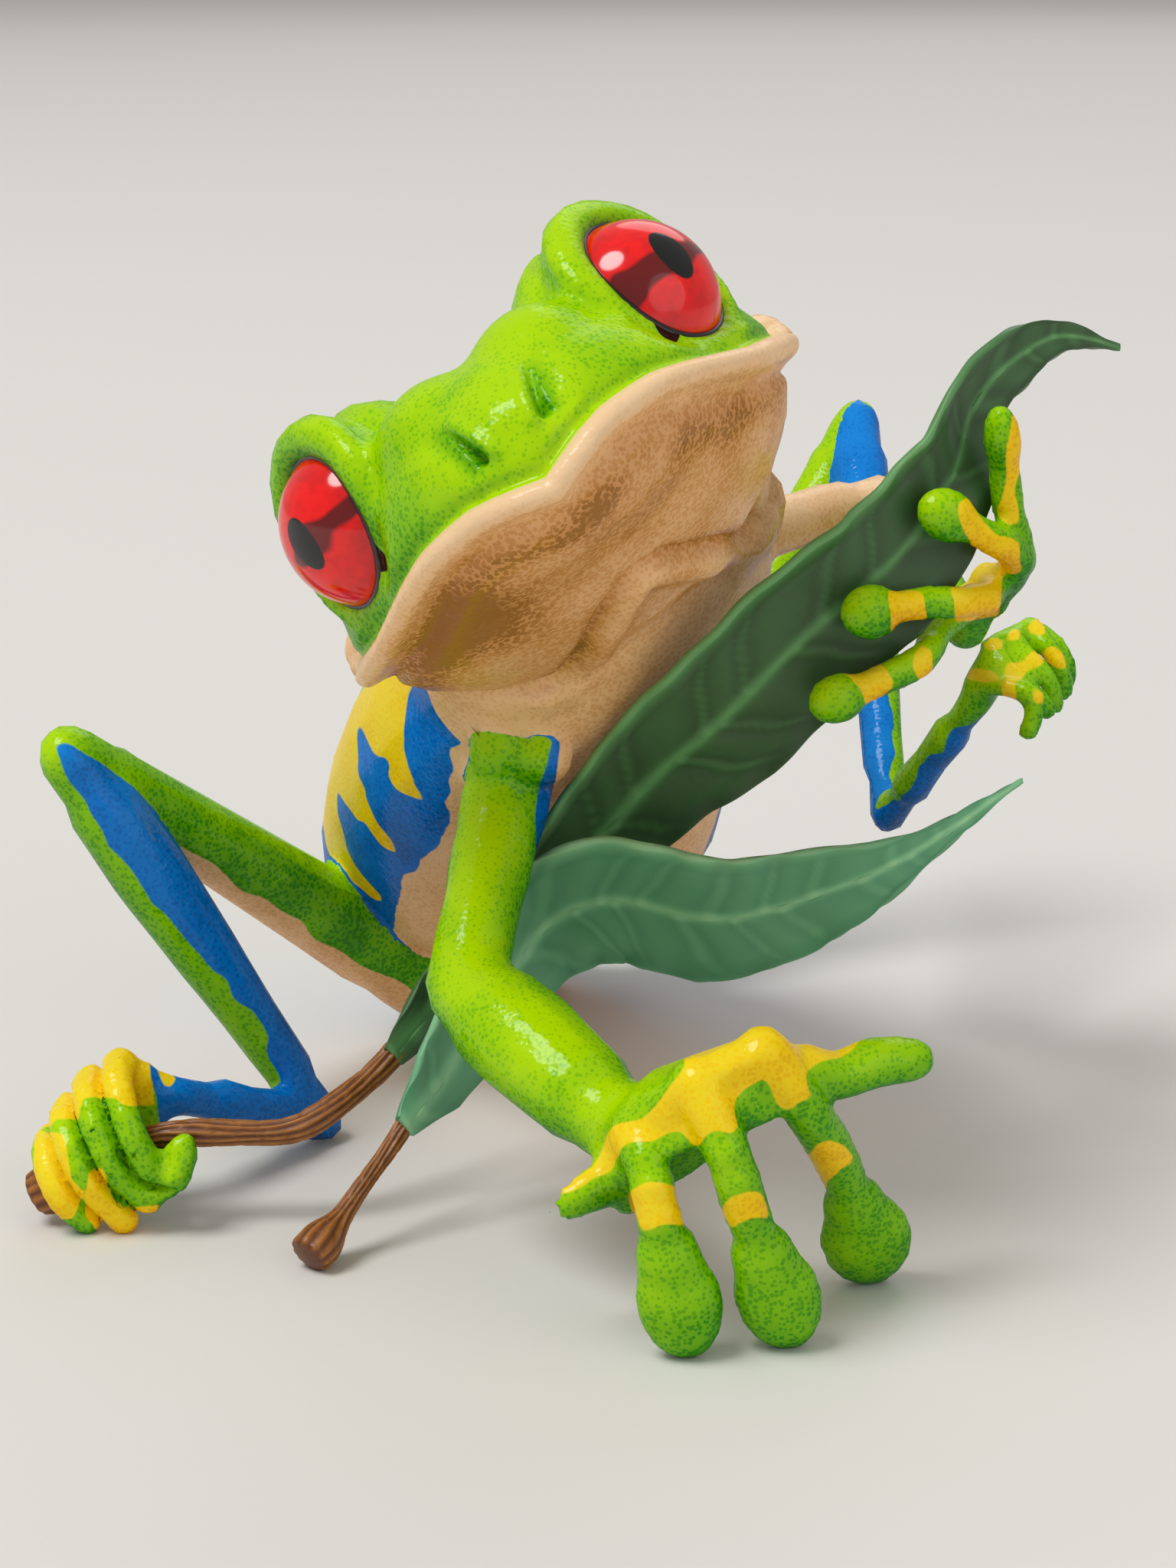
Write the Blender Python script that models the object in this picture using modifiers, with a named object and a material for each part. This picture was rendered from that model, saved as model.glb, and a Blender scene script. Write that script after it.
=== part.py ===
"""Red-eyed tree frog, life size, leaning back with a leaf held between a hind foot and a hand.

Sizes and places are millimetres in a frame whose +X is the viewer's right and whose floor is z = 0.
Every finished piece is scaled to metres and moved so that the origin is the middle of the base.
"""

import math

import bmesh
import bpy
from mathutils import Matrix, Vector

MM = 0.001
GAP = 0.3  # clear space between neighbouring pieces
ROUND_SIDES = 12  # sides of a limb
DIGIT_SIDES = 8
EYE_RADIUS = 3.5
HEAD_HALF_WIDTH = 11.0
LIP_RADIUS = 0.65
THIN_SIDE = 0.5  # share of its tube that the roll of a brow keeps below the eye
LEAF_THICKNESS = 0.5
BLOCK = 100  # edge of the block that makes a flat cut
LARGE_STEM_RADIUS = 0.6
SMALL_STEM_RADIUS = 0.42
SPLAY_OF_EYES = math.radians(55)  # how far the eyes look outwards from straight ahead
LIFT_OF_EYES = math.radians(10)

# Places of the joints
HEAD = Vector((-1.3, -10.5, 33.6))
SHOULDER_R = Vector((-2.6, 3.4, 22.0))
SHOULDER_LOBES_R = ((-4.0, -2.0, 20.2), (-2.0, -2.1, 20.1))
SHOULDER_LOBE_RADIUS = 1.35
ELBOW_R = Vector((-5.3, -9.0, 11.6))
WRIST_R = Vector((1.5, -16.6, 8.0))
SHOULDER_L = Vector((6.3, 6.4, 28.2))
ELBOW_L = Vector((14.3, 14.7, 28.8))
WRIST_L = Vector((17.3, 3.9, 24.4))
HIP_R = Vector((-7.0, 16.8, 2.7))
KNEE_R = Vector((-23.3, -0.8, 19.8))
HEEL_R = Vector((-12.5, 2.9, 0.9))
FOOT_ROOT_R = Vector((-18.6, -4.5, 5.0))
FOOT_AIM_R = Vector((-20.2, -6.0, 5.6))
HIP_L = Vector((1.6, 25.6, 4.8))
KNEE_L = Vector((14.9, 37.0, 29.2))
HEEL_L = Vector((15.2, 16.8, 12.0))
FOOT_ROOT_L = Vector((18.6, 9.2, 20.0))
FOOT_AIM_L = Vector((20.6, 9.0, 21.6))

# Directions of the head: ahead, up and to the frog's own left
HEAD_AHEAD = Vector((-0.122, -0.941, 0.315)).normalized()
HEAD_UP = Vector((-0.605, 0.322, 0.728))
HEAD_LEFT = HEAD_UP.cross(HEAD_AHEAD).normalized()
HEAD_UP = HEAD_AHEAD.cross(HEAD_LEFT).normalized()
NECK_CUT = -8.7  # where the head is parted from the trunk, along HEAD_AHEAD

LIME = (0.28, 0.62, 0.02)
BLUE = (0.01, 0.18, 0.6)
TAN = (0.85, 0.5, 0.24)
RED = (0.75, 0.0, 0.0)
LEAF_GREEN = (0.04, 0.12, 0.04)
PALE_LEAF_GREEN = (0.1, 0.3, 0.1)
BARK = (0.3, 0.1, 0.02)


def curve_through(rows, steps):
    """Rows of numbers on a Catmull-Rom curve, with steps spans between each pair."""
    rows = [list(row) for row in rows]
    if steps == 1 or len(rows) < 3:
        return rows
    ends = [
        [2 * a - b for a, b in zip(rows[0], rows[1], strict=True)],
        [2 * a - b for a, b in zip(rows[-1], rows[-2], strict=True)],
    ]
    padded = [ends[0], *rows, ends[1]]
    out = []
    for i in range(1, len(padded) - 2):
        for step in range(steps):
            t = step / steps
            out.append(
                [
                    0.5
                    * (
                        2 * b
                        + (c - a) * t
                        + (2 * a - 5 * b + 4 * c - d) * t * t
                        + (3 * b - a - 3 * c + d) * t**3
                    )
                    for a, b, c, d in zip(*padded[i - 1 : i + 3], strict=True)
                ]
            )
    out.append(rows[-1])
    return out


def new_object(name, bm):
    mesh = bpy.data.meshes.new(name)
    bmesh.ops.recalc_face_normals(bm, faces=bm.faces)
    bm.to_mesh(mesh)
    bm.free()
    made = bpy.data.objects.new(name, mesh)
    bpy.context.scene.collection.objects.link(made)
    return made


def loft(rows, sides, backs, steps=2, round_ends=(1.0, 1.0), name="loft"):
    """Closed tube through rows of (x, y, z, half width, depth to the back, depth to the front).

    backs gives the direction of the back, one for all rows or one for each row.
    """
    if not isinstance(backs, list):
        backs = [backs] * len(rows)
    merged = [[*row, *back] for row, back in zip(rows, backs, strict=True)]
    samples = curve_through(merged, steps)
    centres = [Vector(s[:3]) for s in samples]
    bm = bmesh.new()
    rings = []

    def add_ring(centre, along, sample, scale):
        back = Vector(sample[6:9])
        back = (back - back.dot(along) * along).normalized()
        side = along.cross(back)
        ring = []
        for k in range(sides):
            angle = 2 * math.pi * k / sides
            depth = sample[4] if math.sin(angle) > 0 else sample[5]
            across = math.cos(angle) * sample[3] * side
            ring.append(bm.verts.new(centre + scale * (across + math.sin(angle) * depth * back)))
        rings.append(ring)

    last = len(centres) - 1
    tangents = [
        (centres[min(i + 1, last)] - centres[max(i - 1, 0)]).normalized() for i in range(last + 1)
    ]
    cap_angles = (math.radians(35), math.radians(65))
    poles = []
    for end, order in ((0, (1, 0)), (last, (0, 1))):
        reach = min(samples[end][3:6]) * round_ends[0 if end == 0 else 1]
        outward = -tangents[end] if end == 0 else tangents[end]
        poles.append(centres[end] + outward * reach)
        if end == 0:
            for k in order:
                spot = centres[0] + outward * reach * math.sin(cap_angles[k])
                add_ring(spot, tangents[0], samples[0], math.cos(cap_angles[k]))
            for centre, along, sample in zip(centres, tangents, samples, strict=True):
                add_ring(centre, along, sample, 1.0)
        else:
            for k in order:
                spot = centres[last] + outward * reach * math.sin(cap_angles[k])
                add_ring(spot, tangents[last], samples[last], math.cos(cap_angles[k]))
    for a, b in zip(rings, rings[1:], strict=False):
        for k in range(sides):
            bm.faces.new((a[k], a[(k + 1) % sides], b[(k + 1) % sides], b[k]))
    for ring, spot in ((rings[0], poles[0]), (rings[-1], poles[1])):
        pole = bm.verts.new(spot)
        for k in range(sides):
            bm.faces.new((ring[k], ring[(k + 1) % sides], pole))
    return new_object(name, bm)


def digit(points, radius, steps=2, sides=DIGIT_SIDES):
    """Round toe or finger through points; radius is one number or one for each point."""
    if not isinstance(radius, (list, tuple)):
        radius = [radius] * len(points)
    rows = [(*p, r, r, r) for p, r in zip(points, radius, strict=True)]
    return loft(rows, sides, Vector((0.25, 0.35, 0.9)), steps, name="digit")


def ball(centre, radii, turn=None, sides=12):
    bm = bmesh.new()
    bmesh.ops.create_uvsphere(bm, u_segments=sides, v_segments=sides * 2 // 3, radius=1)
    turn = turn or Matrix.Identity(3)
    stretch = Matrix.Diagonal(Vector(radii))
    place = Matrix.Translation(centre) @ (turn @ stretch).to_4x4()
    bmesh.ops.transform(bm, matrix=place, verts=bm.verts)
    return new_object("ball", bm)


def ring_piece(centre, facing, ring_radius, tube_radius, turns=20, sides=6, thick=None):
    """Torus round the direction facing, made by spinning a small circle.

    A ring with a direction thick keeps its whole tube there and thins to half of it opposite.
    """
    bm = bmesh.new()
    bmesh.ops.create_circle(bm, segments=sides, radius=tube_radius)
    lift = Matrix.Translation((ring_radius, 0, 0)) @ Matrix.Rotation(math.pi / 2, 4, "X")
    bmesh.ops.transform(bm, matrix=lift, verts=bm.verts)
    bmesh.ops.spin(
        bm,
        geom=bm.verts[:] + bm.edges[:],
        cent=(0, 0, 0),
        axis=(0, 0, 1),
        angle=2 * math.pi,
        steps=turns,
        use_merge=True,
    )
    turn = facing.to_track_quat("Z", "Y").to_matrix().to_4x4()
    if thick:
        aim = turn.inverted() @ thick
        for vert in bm.verts:
            out = Vector((vert.co.x, vert.co.y, 0)).normalized()
            share = min(max((out.dot(aim) + 0.45) / 0.95, 0), 1)
            middle = ring_radius * out
            vert.co = middle + (vert.co - middle) * (THIN_SIDE + (1 - THIN_SIDE) * share)
    bmesh.ops.transform(bm, matrix=Matrix.Translation(centre) @ turn, verts=bm.verts)
    return new_object("ring", bm)


def palm(spots):
    """Rounded slab: the hull of a few balls, given as (point, radius)."""
    balls = bmesh.new()
    for spot, radius in spots:
        made = bmesh.ops.create_icosphere(balls, subdivisions=1, radius=radius)
        bmesh.ops.translate(balls, vec=spot, verts=made["verts"])
    bm = bmesh.new()
    for vert in balls.verts:
        bm.verts.new(vert.co)
    balls.free()
    bmesh.ops.convex_hull(bm, input=bm.verts)
    inside = [v for v in bm.verts if not v.link_faces]
    bmesh.ops.delete(bm, geom=inside, context="VERTS")
    return new_object("palm", bm)


def apply_boolean(target, operation, others):
    """Join the others to the target, or take them from it, and remove them."""
    tools = bpy.data.collections.new("tools")
    for other in others:
        tools.objects.link(other)
    change = target.modifiers.new("Boolean", "BOOLEAN")
    change.operation = operation
    change.operand_type = "COLLECTION"
    change.collection = tools
    change.solver = "MANIFOLD"  # EXACT leaves open edges where digits, webs and palm meet
    depsgraph = bpy.context.evaluated_depsgraph_get()
    mesh = bpy.data.meshes.new_from_object(target.evaluated_get(depsgraph))
    target.modifiers.clear()
    target.data = mesh
    for other in others:
        bpy.data.objects.remove(other)
    bpy.data.collections.remove(tools)
    keep_largest(target)
    return target


def join(pieces):
    return apply_boolean(pieces[0], "UNION", pieces[1:])


def keep_largest(target):
    """Keep only the largest closed surface."""
    bm = bmesh.new()
    bm.from_mesh(target.data)
    left = set(bm.faces)
    groups = []
    while left:
        waiting = [left.pop()]
        group = set(waiting)
        while waiting:
            near = {f for edge in waiting.pop().edges for f in edge.link_faces} - group
            group |= near
            waiting += near
        left -= group
        groups.append(group)
    groups.sort(key=len)
    for group in groups[:-1]:
        bmesh.ops.delete(bm, geom=list(group), context="FACES")
    bm.to_mesh(target.data)
    bm.free()


def cut_flat(target, point, normal):
    """Take off all that lies past the plane, on the side of its normal."""
    bm = bmesh.new()
    bmesh.ops.create_cube(bm, size=BLOCK)
    turn = Vector(normal).to_track_quat("Z", "Y").to_matrix().to_4x4()
    place = Matrix.Translation(point) @ turn @ Matrix.Translation((0, 0, BLOCK / 2))
    bmesh.ops.transform(bm, matrix=place, verts=bm.verts)
    return apply_boolean(target, "DIFFERENCE", [new_object("block", bm)])


def part_at(before, after, joint, direction):
    """Cut two neighbours at a joint so that their flat faces lie GAP apart."""
    half = direction.normalized() * (GAP / 2)
    cut_flat(before, joint - half, direction)
    cut_flat(after, joint + half, -direction)


def inflated(target, amount):
    """A copy of the target, grown by amount along its normals."""
    copy = target.copy()
    copy.data = target.data.copy()
    bpy.context.scene.collection.objects.link(copy)
    bm = bmesh.new()
    bm.from_mesh(copy.data)
    bmesh.ops.triangulate(bm, faces=bm.faces)
    bmesh.ops.recalc_face_normals(bm, faces=bm.faces)
    bm.normal_update()
    moves = [(v, v.normal * amount * min(v.calc_shell_factor(), 2.0)) for v in bm.verts]
    for vert, move in moves:
        vert.co += move
    bm.to_mesh(copy.data)
    bm.free()
    return copy


def keep_clear(target, others):
    """Take from the target all that is nearer than GAP to the others."""
    return apply_boolean(target, "DIFFERENCE", [inflated(other, GAP) for other in others])


def limb_piece(start, end, profile, back, bow=None):
    """Length of a limb; profile gives (share of the length, half width, half depth)."""
    bow = bow or Vector((0, 0, 0))
    rows = []
    for share, width, depth in profile:
        spot = start.lerp(end, share) + bow * 4 * share * (1 - share)
        rows.append((*spot, width, depth, depth))
    return loft(rows, ROUND_SIDES, back, name="limb")


def in_head(x, y, z):
    """A place given as left, ahead and up from the middle of the head."""
    return HEAD + x * HEAD_LEFT + y * HEAD_AHEAD + z * HEAD_UP


# Stations of the head: ahead, half width, height of the crown, depth of the throat
HEAD_STATIONS = (
    (-9.6, 9.2, 5.5, 5.6),
    (-6.0, 10.5, 6.1, 5.7),
    (-3.0, HEAD_HALF_WIDTH, 6.2, 5.3),
    (0.0, 10.3, 6.0, 4.8),
    (3.0, 9.0, 5.6, 4.1),
    (6.0, 6.9, 4.8, 4.0),
    (8.2, 4.9, 3.9, 3.6),
    (9.8, 2.6, 2.3, 3.0),
)
SNOUT_TIP = 10.4
MOUTH_CORNER = -5.4
RIM_OFFSET = 1.2  # how far the rim of the lids lies ahead of the middle of the eye
LID_AHEAD = 1.15
LID_RADIUS = 0.75  # of the round roll of the brow that holds the eye
# Height of the lip at shares of the way from a corner of the mouth to the tip of the snout
LIP_WAVE = (
    (0.0, 0.1),
    (0.1, -0.8),
    (0.31, -1.3),
    (0.45, -1.15),
    (0.6, -0.9),
    (0.78, -1.15),
    (1.0, -2.2),
)


def mouth_line(lift, spread, count=13):
    """Points round the mouth from the right corner over the snout to the left one."""
    half = []
    for i in range(count):
        share = i / (count - 1)
        ahead = MOUTH_CORNER + (SNOUT_TIP - MOUTH_CORNER) * math.sin(share * math.pi / 2)
        wide, depth = HEAD_STATIONS[-1][1], HEAD_STATIONS[-1][3]
        for (y0, w0, _, d0), (y1, w1, _, d1) in zip(HEAD_STATIONS, HEAD_STATIONS[1:], strict=False):
            if y0 <= ahead <= y1:
                wide = w0 + (w1 - w0) * (ahead - y0) / (y1 - y0)
                depth = d0 + (d1 - d0) * (ahead - y0) / (y1 - y0)
        if ahead > HEAD_STATIONS[-1][0]:
            tip_share = (ahead - HEAD_STATIONS[-1][0]) / (SNOUT_TIP - HEAD_STATIONS[-1][0])
            wide *= math.sqrt(max(0.0, 1 - tip_share**2))
        for (s0, z0), (s1, z1) in zip(LIP_WAVE, LIP_WAVE[1:], strict=False):
            if s0 <= share <= s1:
                drop = z0 + (z1 - z0) * (share - s0) / (s1 - s0)
        wide *= math.sqrt(1 - (drop / depth) ** 2)
        half.append((wide + spread, ahead, drop + lift))
    right = [in_head(-x, y, z) for x, y, z in half]
    left = [in_head(x, y, z) for x, y, z in reversed(half[:-1])]
    return right + left


def make_head():
    rows = []
    for ahead, wide, crown, throat in HEAD_STATIONS:
        rows.append((*in_head(0, ahead, 0), wide, crown, throat))
    skull = loft(rows, 24, HEAD_UP, 2, round_ends=(0.1, 0.32), name="head")
    pieces, openings, lids, drums, sockets = [skull], [], [], [], []
    for sign in (-1, 1):
        eye = eye_middle(sign)
        facing = eye_facing(sign)
        turn = facing.to_track_quat("Z", "Y").to_matrix()
        brow_radii = (EYE_RADIUS + 0.9, EYE_RADIUS + 0.9, EYE_RADIUS + 1.6)
        brow = ball(eye + 0.4 * HEAD_UP - 0.8 * facing, brow_radii, turn, 18)
        hump = ball(in_head(sign * 4.7, -4.2, 3.2), (4.2, 5.4, 4.3), head_turn(), 16)
        snout = ball(in_head(sign * 2.3, 3.6, 3.2), (3.3, 4.6, 2.7), head_turn(), 14)
        openings.append(eye_opening(eye, facing))
        roll_middle = eye + 0.15 * HEAD_UP + LID_AHEAD * facing
        over = (HEAD_UP + 0.4 * (HEAD_AHEAD - HEAD_AHEAD.dot(facing) * facing)).normalized()
        roll = ring_piece(roll_middle, facing, EYE_RADIUS + 0.45, LID_RADIUS, 28, 10, over)
        lids.append(roll)
        drum_facing = (0.747 * sign * HEAD_LEFT + 0.665 * HEAD_UP).normalized()
        drum = ring_piece(in_head(sign * 9.25, -6.3, 2.9), drum_facing, 1.1, 0.28, 12, 6)
        pieces += [brow, hump, snout]
        drums.append(drum)
        sockets.append(ball(eye, [EYE_RADIUS + GAP] * 3, None, 20))
    lip = digit(mouth_line(0, 0.1), LIP_RADIUS, 1)
    for sign in (-1, 1):
        lids.append(ball(in_head(sign * 10.7, -6.0, 0.7), (0.9, 1.0, 0.95), head_turn(), 10))
    head = join(pieces)
    apply_boolean(head, "DIFFERENCE", openings)
    join([head, lip, *lids, *drums])
    groove = digit(mouth_line(-0.8, 0.1)[1:-1], 0.28, 1, 6)
    nostrils = []
    for sign in (-1, 1):
        slant = Matrix.Rotation(sign * 0.3, 3, HEAD_AHEAD) @ head_turn()
        nostrils.append(ball(in_head(sign * 1.7, 9.2, 1.2), (0.28, 0.8, 0.95), slant, 8))
    apply_boolean(head, "DIFFERENCE", [*sockets, groove, *nostrils])
    cut_flat(head, in_head(0, NECK_CUT + GAP / 2, 0), -HEAD_AHEAD)
    return head


def head_turn():
    return Matrix((HEAD_LEFT, HEAD_AHEAD, HEAD_UP)).transposed()


def eye_middle(sign):
    return in_head(sign * 7.0, 1.0, 3.6)


def eye_facing(sign):
    flat = math.cos(SPLAY_OF_EYES) * HEAD_AHEAD + sign * math.sin(SPLAY_OF_EYES) * HEAD_LEFT
    return math.cos(LIFT_OF_EYES) * flat + math.sin(LIFT_OF_EYES) * HEAD_UP


def eye_opening(eye, facing):
    """Cutter that bares the eye in front of its rim, much wider outwards."""
    bm = bmesh.new()
    bmesh.ops.create_cone(
        bm, cap_ends=True, segments=24, radius1=EYE_RADIUS, radius2=EYE_RADIUS + 7, depth=4
    )
    turn = facing.to_track_quat("Z", "Y").to_matrix().to_4x4()
    place = Matrix.Translation(eye + (RIM_OFFSET + 2) * facing) @ turn
    bmesh.ops.transform(bm, matrix=place, verts=bm.verts)
    return new_object("opening", bm)


def make_eye(sign):
    turn = eye_facing(sign).to_track_quat("Z", "Y").to_matrix()
    return ball(eye_middle(sign), [EYE_RADIUS] * 3, turn, 18)


def back_of_trunk(roll):
    """Direction of the back of the trunk, leaning 46 degrees and rolled to the viewer's left."""
    lean = math.radians(46)
    plain = Vector((0, math.sin(lean), math.cos(lean)))
    roll = math.radians(roll)
    return math.cos(roll) * plain + math.sin(roll) * Vector((-1, 0, 0))


def make_torso():
    rows = [
        (-3.2, 25.6, 3.1, 4.2, 3.2, 3.4),
        (-3.3, 21.0, 7.3, 8.2, 5.6, 5.6),
        (-3.3, 15.8, 12.2, 10.3, 7.4, 7.4),
        (-1.9, 9.6, 19.0, 10.2, 7.2, 7.4),
        (0.0, 5.2, 24.2, 9.4, 6.6, 6.8),
        (0.2, 1.0, 28.4, 9.3, 5.8, 6.2),
        (*in_head(0, NECK_CUT - 0.6, 0), 9.2, 5.5, 5.6),
        (*in_head(0, NECK_CUT + 1.4, 0), 9.4, 5.6, 5.6),
    ]
    backs = [back_of_trunk(roll) for roll in (10, 13, 18, 28, 37, 40)] + [HEAD_UP, HEAD_UP]
    torso = loft(rows, 24, backs, 2, round_ends=(0.9, 0.1), name="torso")
    cut_flat(torso, in_head(0, NECK_CUT - GAP / 2, 0), HEAD_AHEAD)
    return torso


def fingers_right():
    """Right hand: the three outer fingers, each from knuckle to the tip of its pad."""
    return (
        ((1.9, -19.4, 9.0), (2.35, -20.8, 8.2), (2.8, -21.5, 6.2), (4.15, -21.0, 0.3)),
        ((4.3, -20.4, 11.4), (5.5, -21.5, 9.0), (6.3, -21.3, 6.4), (8.35, -20.0, 0.3)),
        ((7.0, -19.3, 12.3), (8.9, -18.8, 9.5), (10.4, -16.2, 6.2), (12.35, -13.6, 0.4)),
    )


# Outer edge of the right hand, which the drawing shows running out to the viewer's right
OUTER_DIGIT_R = ((8.6, -17.8, 11.1), (10.1, -17.0, 10.5), (11.6, -16.3, 10.8), (13.3, -15.6, 10.7))
INNER_FINGER_R = ((1.2, -18.0, 6.6), (-0.6, -18.8, 5.9), (-2.6, -19.3, 5.3), (-4.0, -19.5, 5.1))
PAD_LENGTH = 5.2
PAD_WIDTHS = (3.55, 3.55, 4.0)
PAD_DEPTH = 2.2


def make_hand_right():
    knuckles = [Vector(finger[0]) for finger in fingers_right()] + [Vector(OUTER_DIGIT_R[0])]
    heel = Vector((1.6, -17.8, 5.6))
    spots = [(WRIST_R, 1.95), (heel, 0.9), *[(k, 1.05) for k in knuckles[:3]], (knuckles[3], 0.9)]
    pieces = [palm(spots)]
    for finger, pad_width in zip(fingers_right(), PAD_WIDTHS, strict=True):
        pieces.append(digit(finger, [1.15, 1.0, 0.98, 0.5]))
        knuckle, middle, tip = Vector(finger[0]), Vector(finger[2]), Vector(finger[3])
        along = (tip - middle).normalized()
        flat = VIEWER - VIEWER.dot(along) * along
        turn = Matrix((along.cross(flat.normalized()), along, flat.normalized())).transposed()
        centre = tip - along * (PAD_LENGTH / 2 - 0.4)
        pieces.append(ball(centre, (pad_width / 2, PAD_LENGTH / 2, PAD_DEPTH / 2), turn, 14))
        pieces.append(ball(centre - along * 1.7, (1.4, 2.2, 1.05), turn, 12))
    pieces.append(digit(OUTER_DIGIT_R, [1.1, 1.05, 1.1, 0.95]))
    pieces.append(digit(INNER_FINGER_R, [1.2, 0.85, 0.7, 0.55]))
    for a, b in zip(fingers_right(), fingers_right()[1:], strict=False):
        web = [(Vector(p), 0.5) for p in (a[0], b[0])]
        web += [(Vector(p[0]).lerp(Vector(p[1]), 0.75), 0.4) for p in (a, b)]
        pieces.append(palm(web))
    return join(pieces)


VIEWER = Vector((0, -0.966, 0.259))  # towards the side that the pads and the leaf face


def fingers_left():
    """Left hand: each finger from the palm round the edge of the leaf to its pad."""
    return (
        ((18.3, 1.2, 27.0), (19.2, 0.0, 28.5), (18.4, -1.2, 30.9), (17.9, -2.2, 34.2)),
        ((18.3, 1.2, 27.0), (19.0, -0.8, 28.7), (17.3, -2.6, 30.1), (15.5, -3.3, 31.1)),
        ((17.9, 1.2, 27.4), (17.5, -1.6, 27.1), (14.7, -3.4, 27.3), (12.2, -4.4, 27.1)),
        ((17.2, 1.5, 26.4), (15.3, -1.6, 25.6), (14.4, -3.6, 24.7), (10.8, -5.0, 23.4)),
    )


# Half the width and half the length of the pad on each finger of the left hand
PADS_LEFT = ((0.85, 1.7), (1.2, 1.55), (1.25, 1.45), (1.12, 1.4))


def make_hand_left():
    spots = [(WRIST_L, 1.2), ((18.3, 1.2, 27.0), 0.95), ((17.2, 1.5, 26.4), 0.9)]
    pieces = [palm(spots)]
    for finger, (wide, long) in zip(fingers_left(), PADS_LEFT, strict=True):
        pieces.append(digit(finger, [0.85, 0.78, 0.74, 0.7]))
        along = (Vector(finger[3]) - Vector(finger[2])).normalized()
        flat = VIEWER - VIEWER.dot(along) * along
        turn = Matrix((along.cross(flat.normalized()), along, flat.normalized())).transposed()
        pieces.append(ball(finger[3], (wide, long, 0.95), turn, 12))
    return join(pieces)


# Toes of the right foot, each from its knuckle over the stem to its tip
TOES_RIGHT = (
    ((-20.8, -5.4, 6.7), (-20.7, -7.2, 6.6), (-20.2, -8.6, 5.4), (-19.7, -8.8, 4.2), (-19.3, -8.7, 3.2)),
    ((-22.1, -5.4, 5.9), (-22.0, -7.2, 5.9), (-21.4, -8.6, 4.9), (-20.7, -8.8, 3.2), (-19.4, -8.3, 1.6)),
    ((-23.1, -5.6, 4.6), (-23.1, -7.2, 4.7), (-22.6, -8.5, 3.9), (-21.9, -8.8, 2.4), (-20.5, -8.2, 0.6)),
    ((-23.8, -6.0, 3.4), (-23.9, -7.3, 3.4), (-23.5, -8.3, 2.6), (-23.0, -8.6, 1.7), (-22.1, -8.2, 0.6)),
)
INNER_TOE_R = (
    (-19.6, -5.2, 3.2),
    (-19.2, -6.4, 2.3),
    (-18.9, -8.0, 2.2),
    (-18.1, -8.7, 2.5),
    (-17.7, -8.5, 3.2),
    (-17.7, -8.2, 4.0),
)


def make_foot_right():
    spots = [(FOOT_ROOT_R, 1.05), ((-20.2, -4.6, 3.3), 0.6)]
    pieces = []
    for toe in TOES_RIGHT:
        spots.append((toe[0], 0.7))
        pieces.append(digit(toe, [0.7, 0.62, 0.62, 0.62, 0.6]))
    pieces.append(digit(INNER_TOE_R, 0.6))
    return join([palm(spots), *pieces])


def toes_left():
    return (
        ((18.3, 9.0, 20.8), (19.7, 7.6, 20.9), (21.1, 7.0, 20.6), (20.8, 7.0, 19.0)),
        ((19.3, 10.0, 22.2), (19.9, 8.8, 21.4), (20.8, 8.3, 20.8), (21.8, 8.3, 19.7)),
        ((20.4, 11.3, 22.5), (21.0, 10.1, 21.8), (21.9, 9.6, 21.0), (22.4, 9.8, 19.6)),
        ((21.5, 12.6, 22.7), (22.2, 11.4, 22.0), (22.8, 11.0, 21.1), (23.0, 11.3, 19.9)),
        ((22.1, 14.2, 22.1), (22.8, 13.0, 21.7), (23.3, 12.6, 20.9), (23.4, 12.9, 20.1)),
    )


def make_foot_left():
    roots = [Vector(toe[0]) for toe in toes_left()]
    pieces = [palm([(FOOT_ROOT_L, 0.95), *[(root, 0.6) for root in roots]])]
    for toe in toes_left():
        pieces.append(digit(toe, [0.6, 0.56, 0.52, 0.52]))
    return join(pieces)


def blade(midrib, widths, across, wave):
    """Leaf blade: a grid along the midrib, wavy at its edges, thickened afterwards.

    widths gives half the width at even steps from the stem to the tip.
    """
    samples = curve_through(midrib, 2)
    shares = (-1.0, -0.62, -0.28, 0.0, 0.28, 0.62, 1.0)
    bm = bmesh.new()
    grid = []
    last = len(samples) - 1
    for i, sample in enumerate(samples):
        share = i / last
        before, after = samples[max(i - 1, 0)], samples[min(i + 1, last)]
        along = (Vector(after) - Vector(before)).normalized()
        side = across - across.dot(along) * along
        side.normalize()
        out = side.cross(along)
        place = share * (len(widths) - 1)
        step = min(int(place), len(widths) - 2)
        width = widths[step] + (widths[step + 1] - widths[step]) * (place - step)
        row = []
        for s in shares:
            ripple = wave * math.sin(share * 21 + 2 * s) * s * s
            fold = 0.35 * abs(s)
            row.append(bm.verts.new(Vector(sample) + side * s * width + out * (ripple + fold)))
        grid.append(row)
    for a, b in zip(grid, grid[1:], strict=False):
        for k in range(len(shares) - 1):
            bm.faces.new((a[k], a[k + 1], b[k + 1], b[k]))
    bmesh.ops.triangulate(bm, faces=bm.faces)
    sheet = new_object("blade", bm)
    thicken = sheet.modifiers.new("Solidify", "SOLIDIFY")
    thicken.thickness = LEAF_THICKNESS
    thicken.offset = 0
    thicken.use_even_offset = True
    mesh = bpy.data.meshes.new_from_object(
        sheet.evaluated_get(bpy.context.evaluated_depsgraph_get())
    )
    sheet.modifiers.clear()
    sheet.data = mesh
    return sheet


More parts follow.
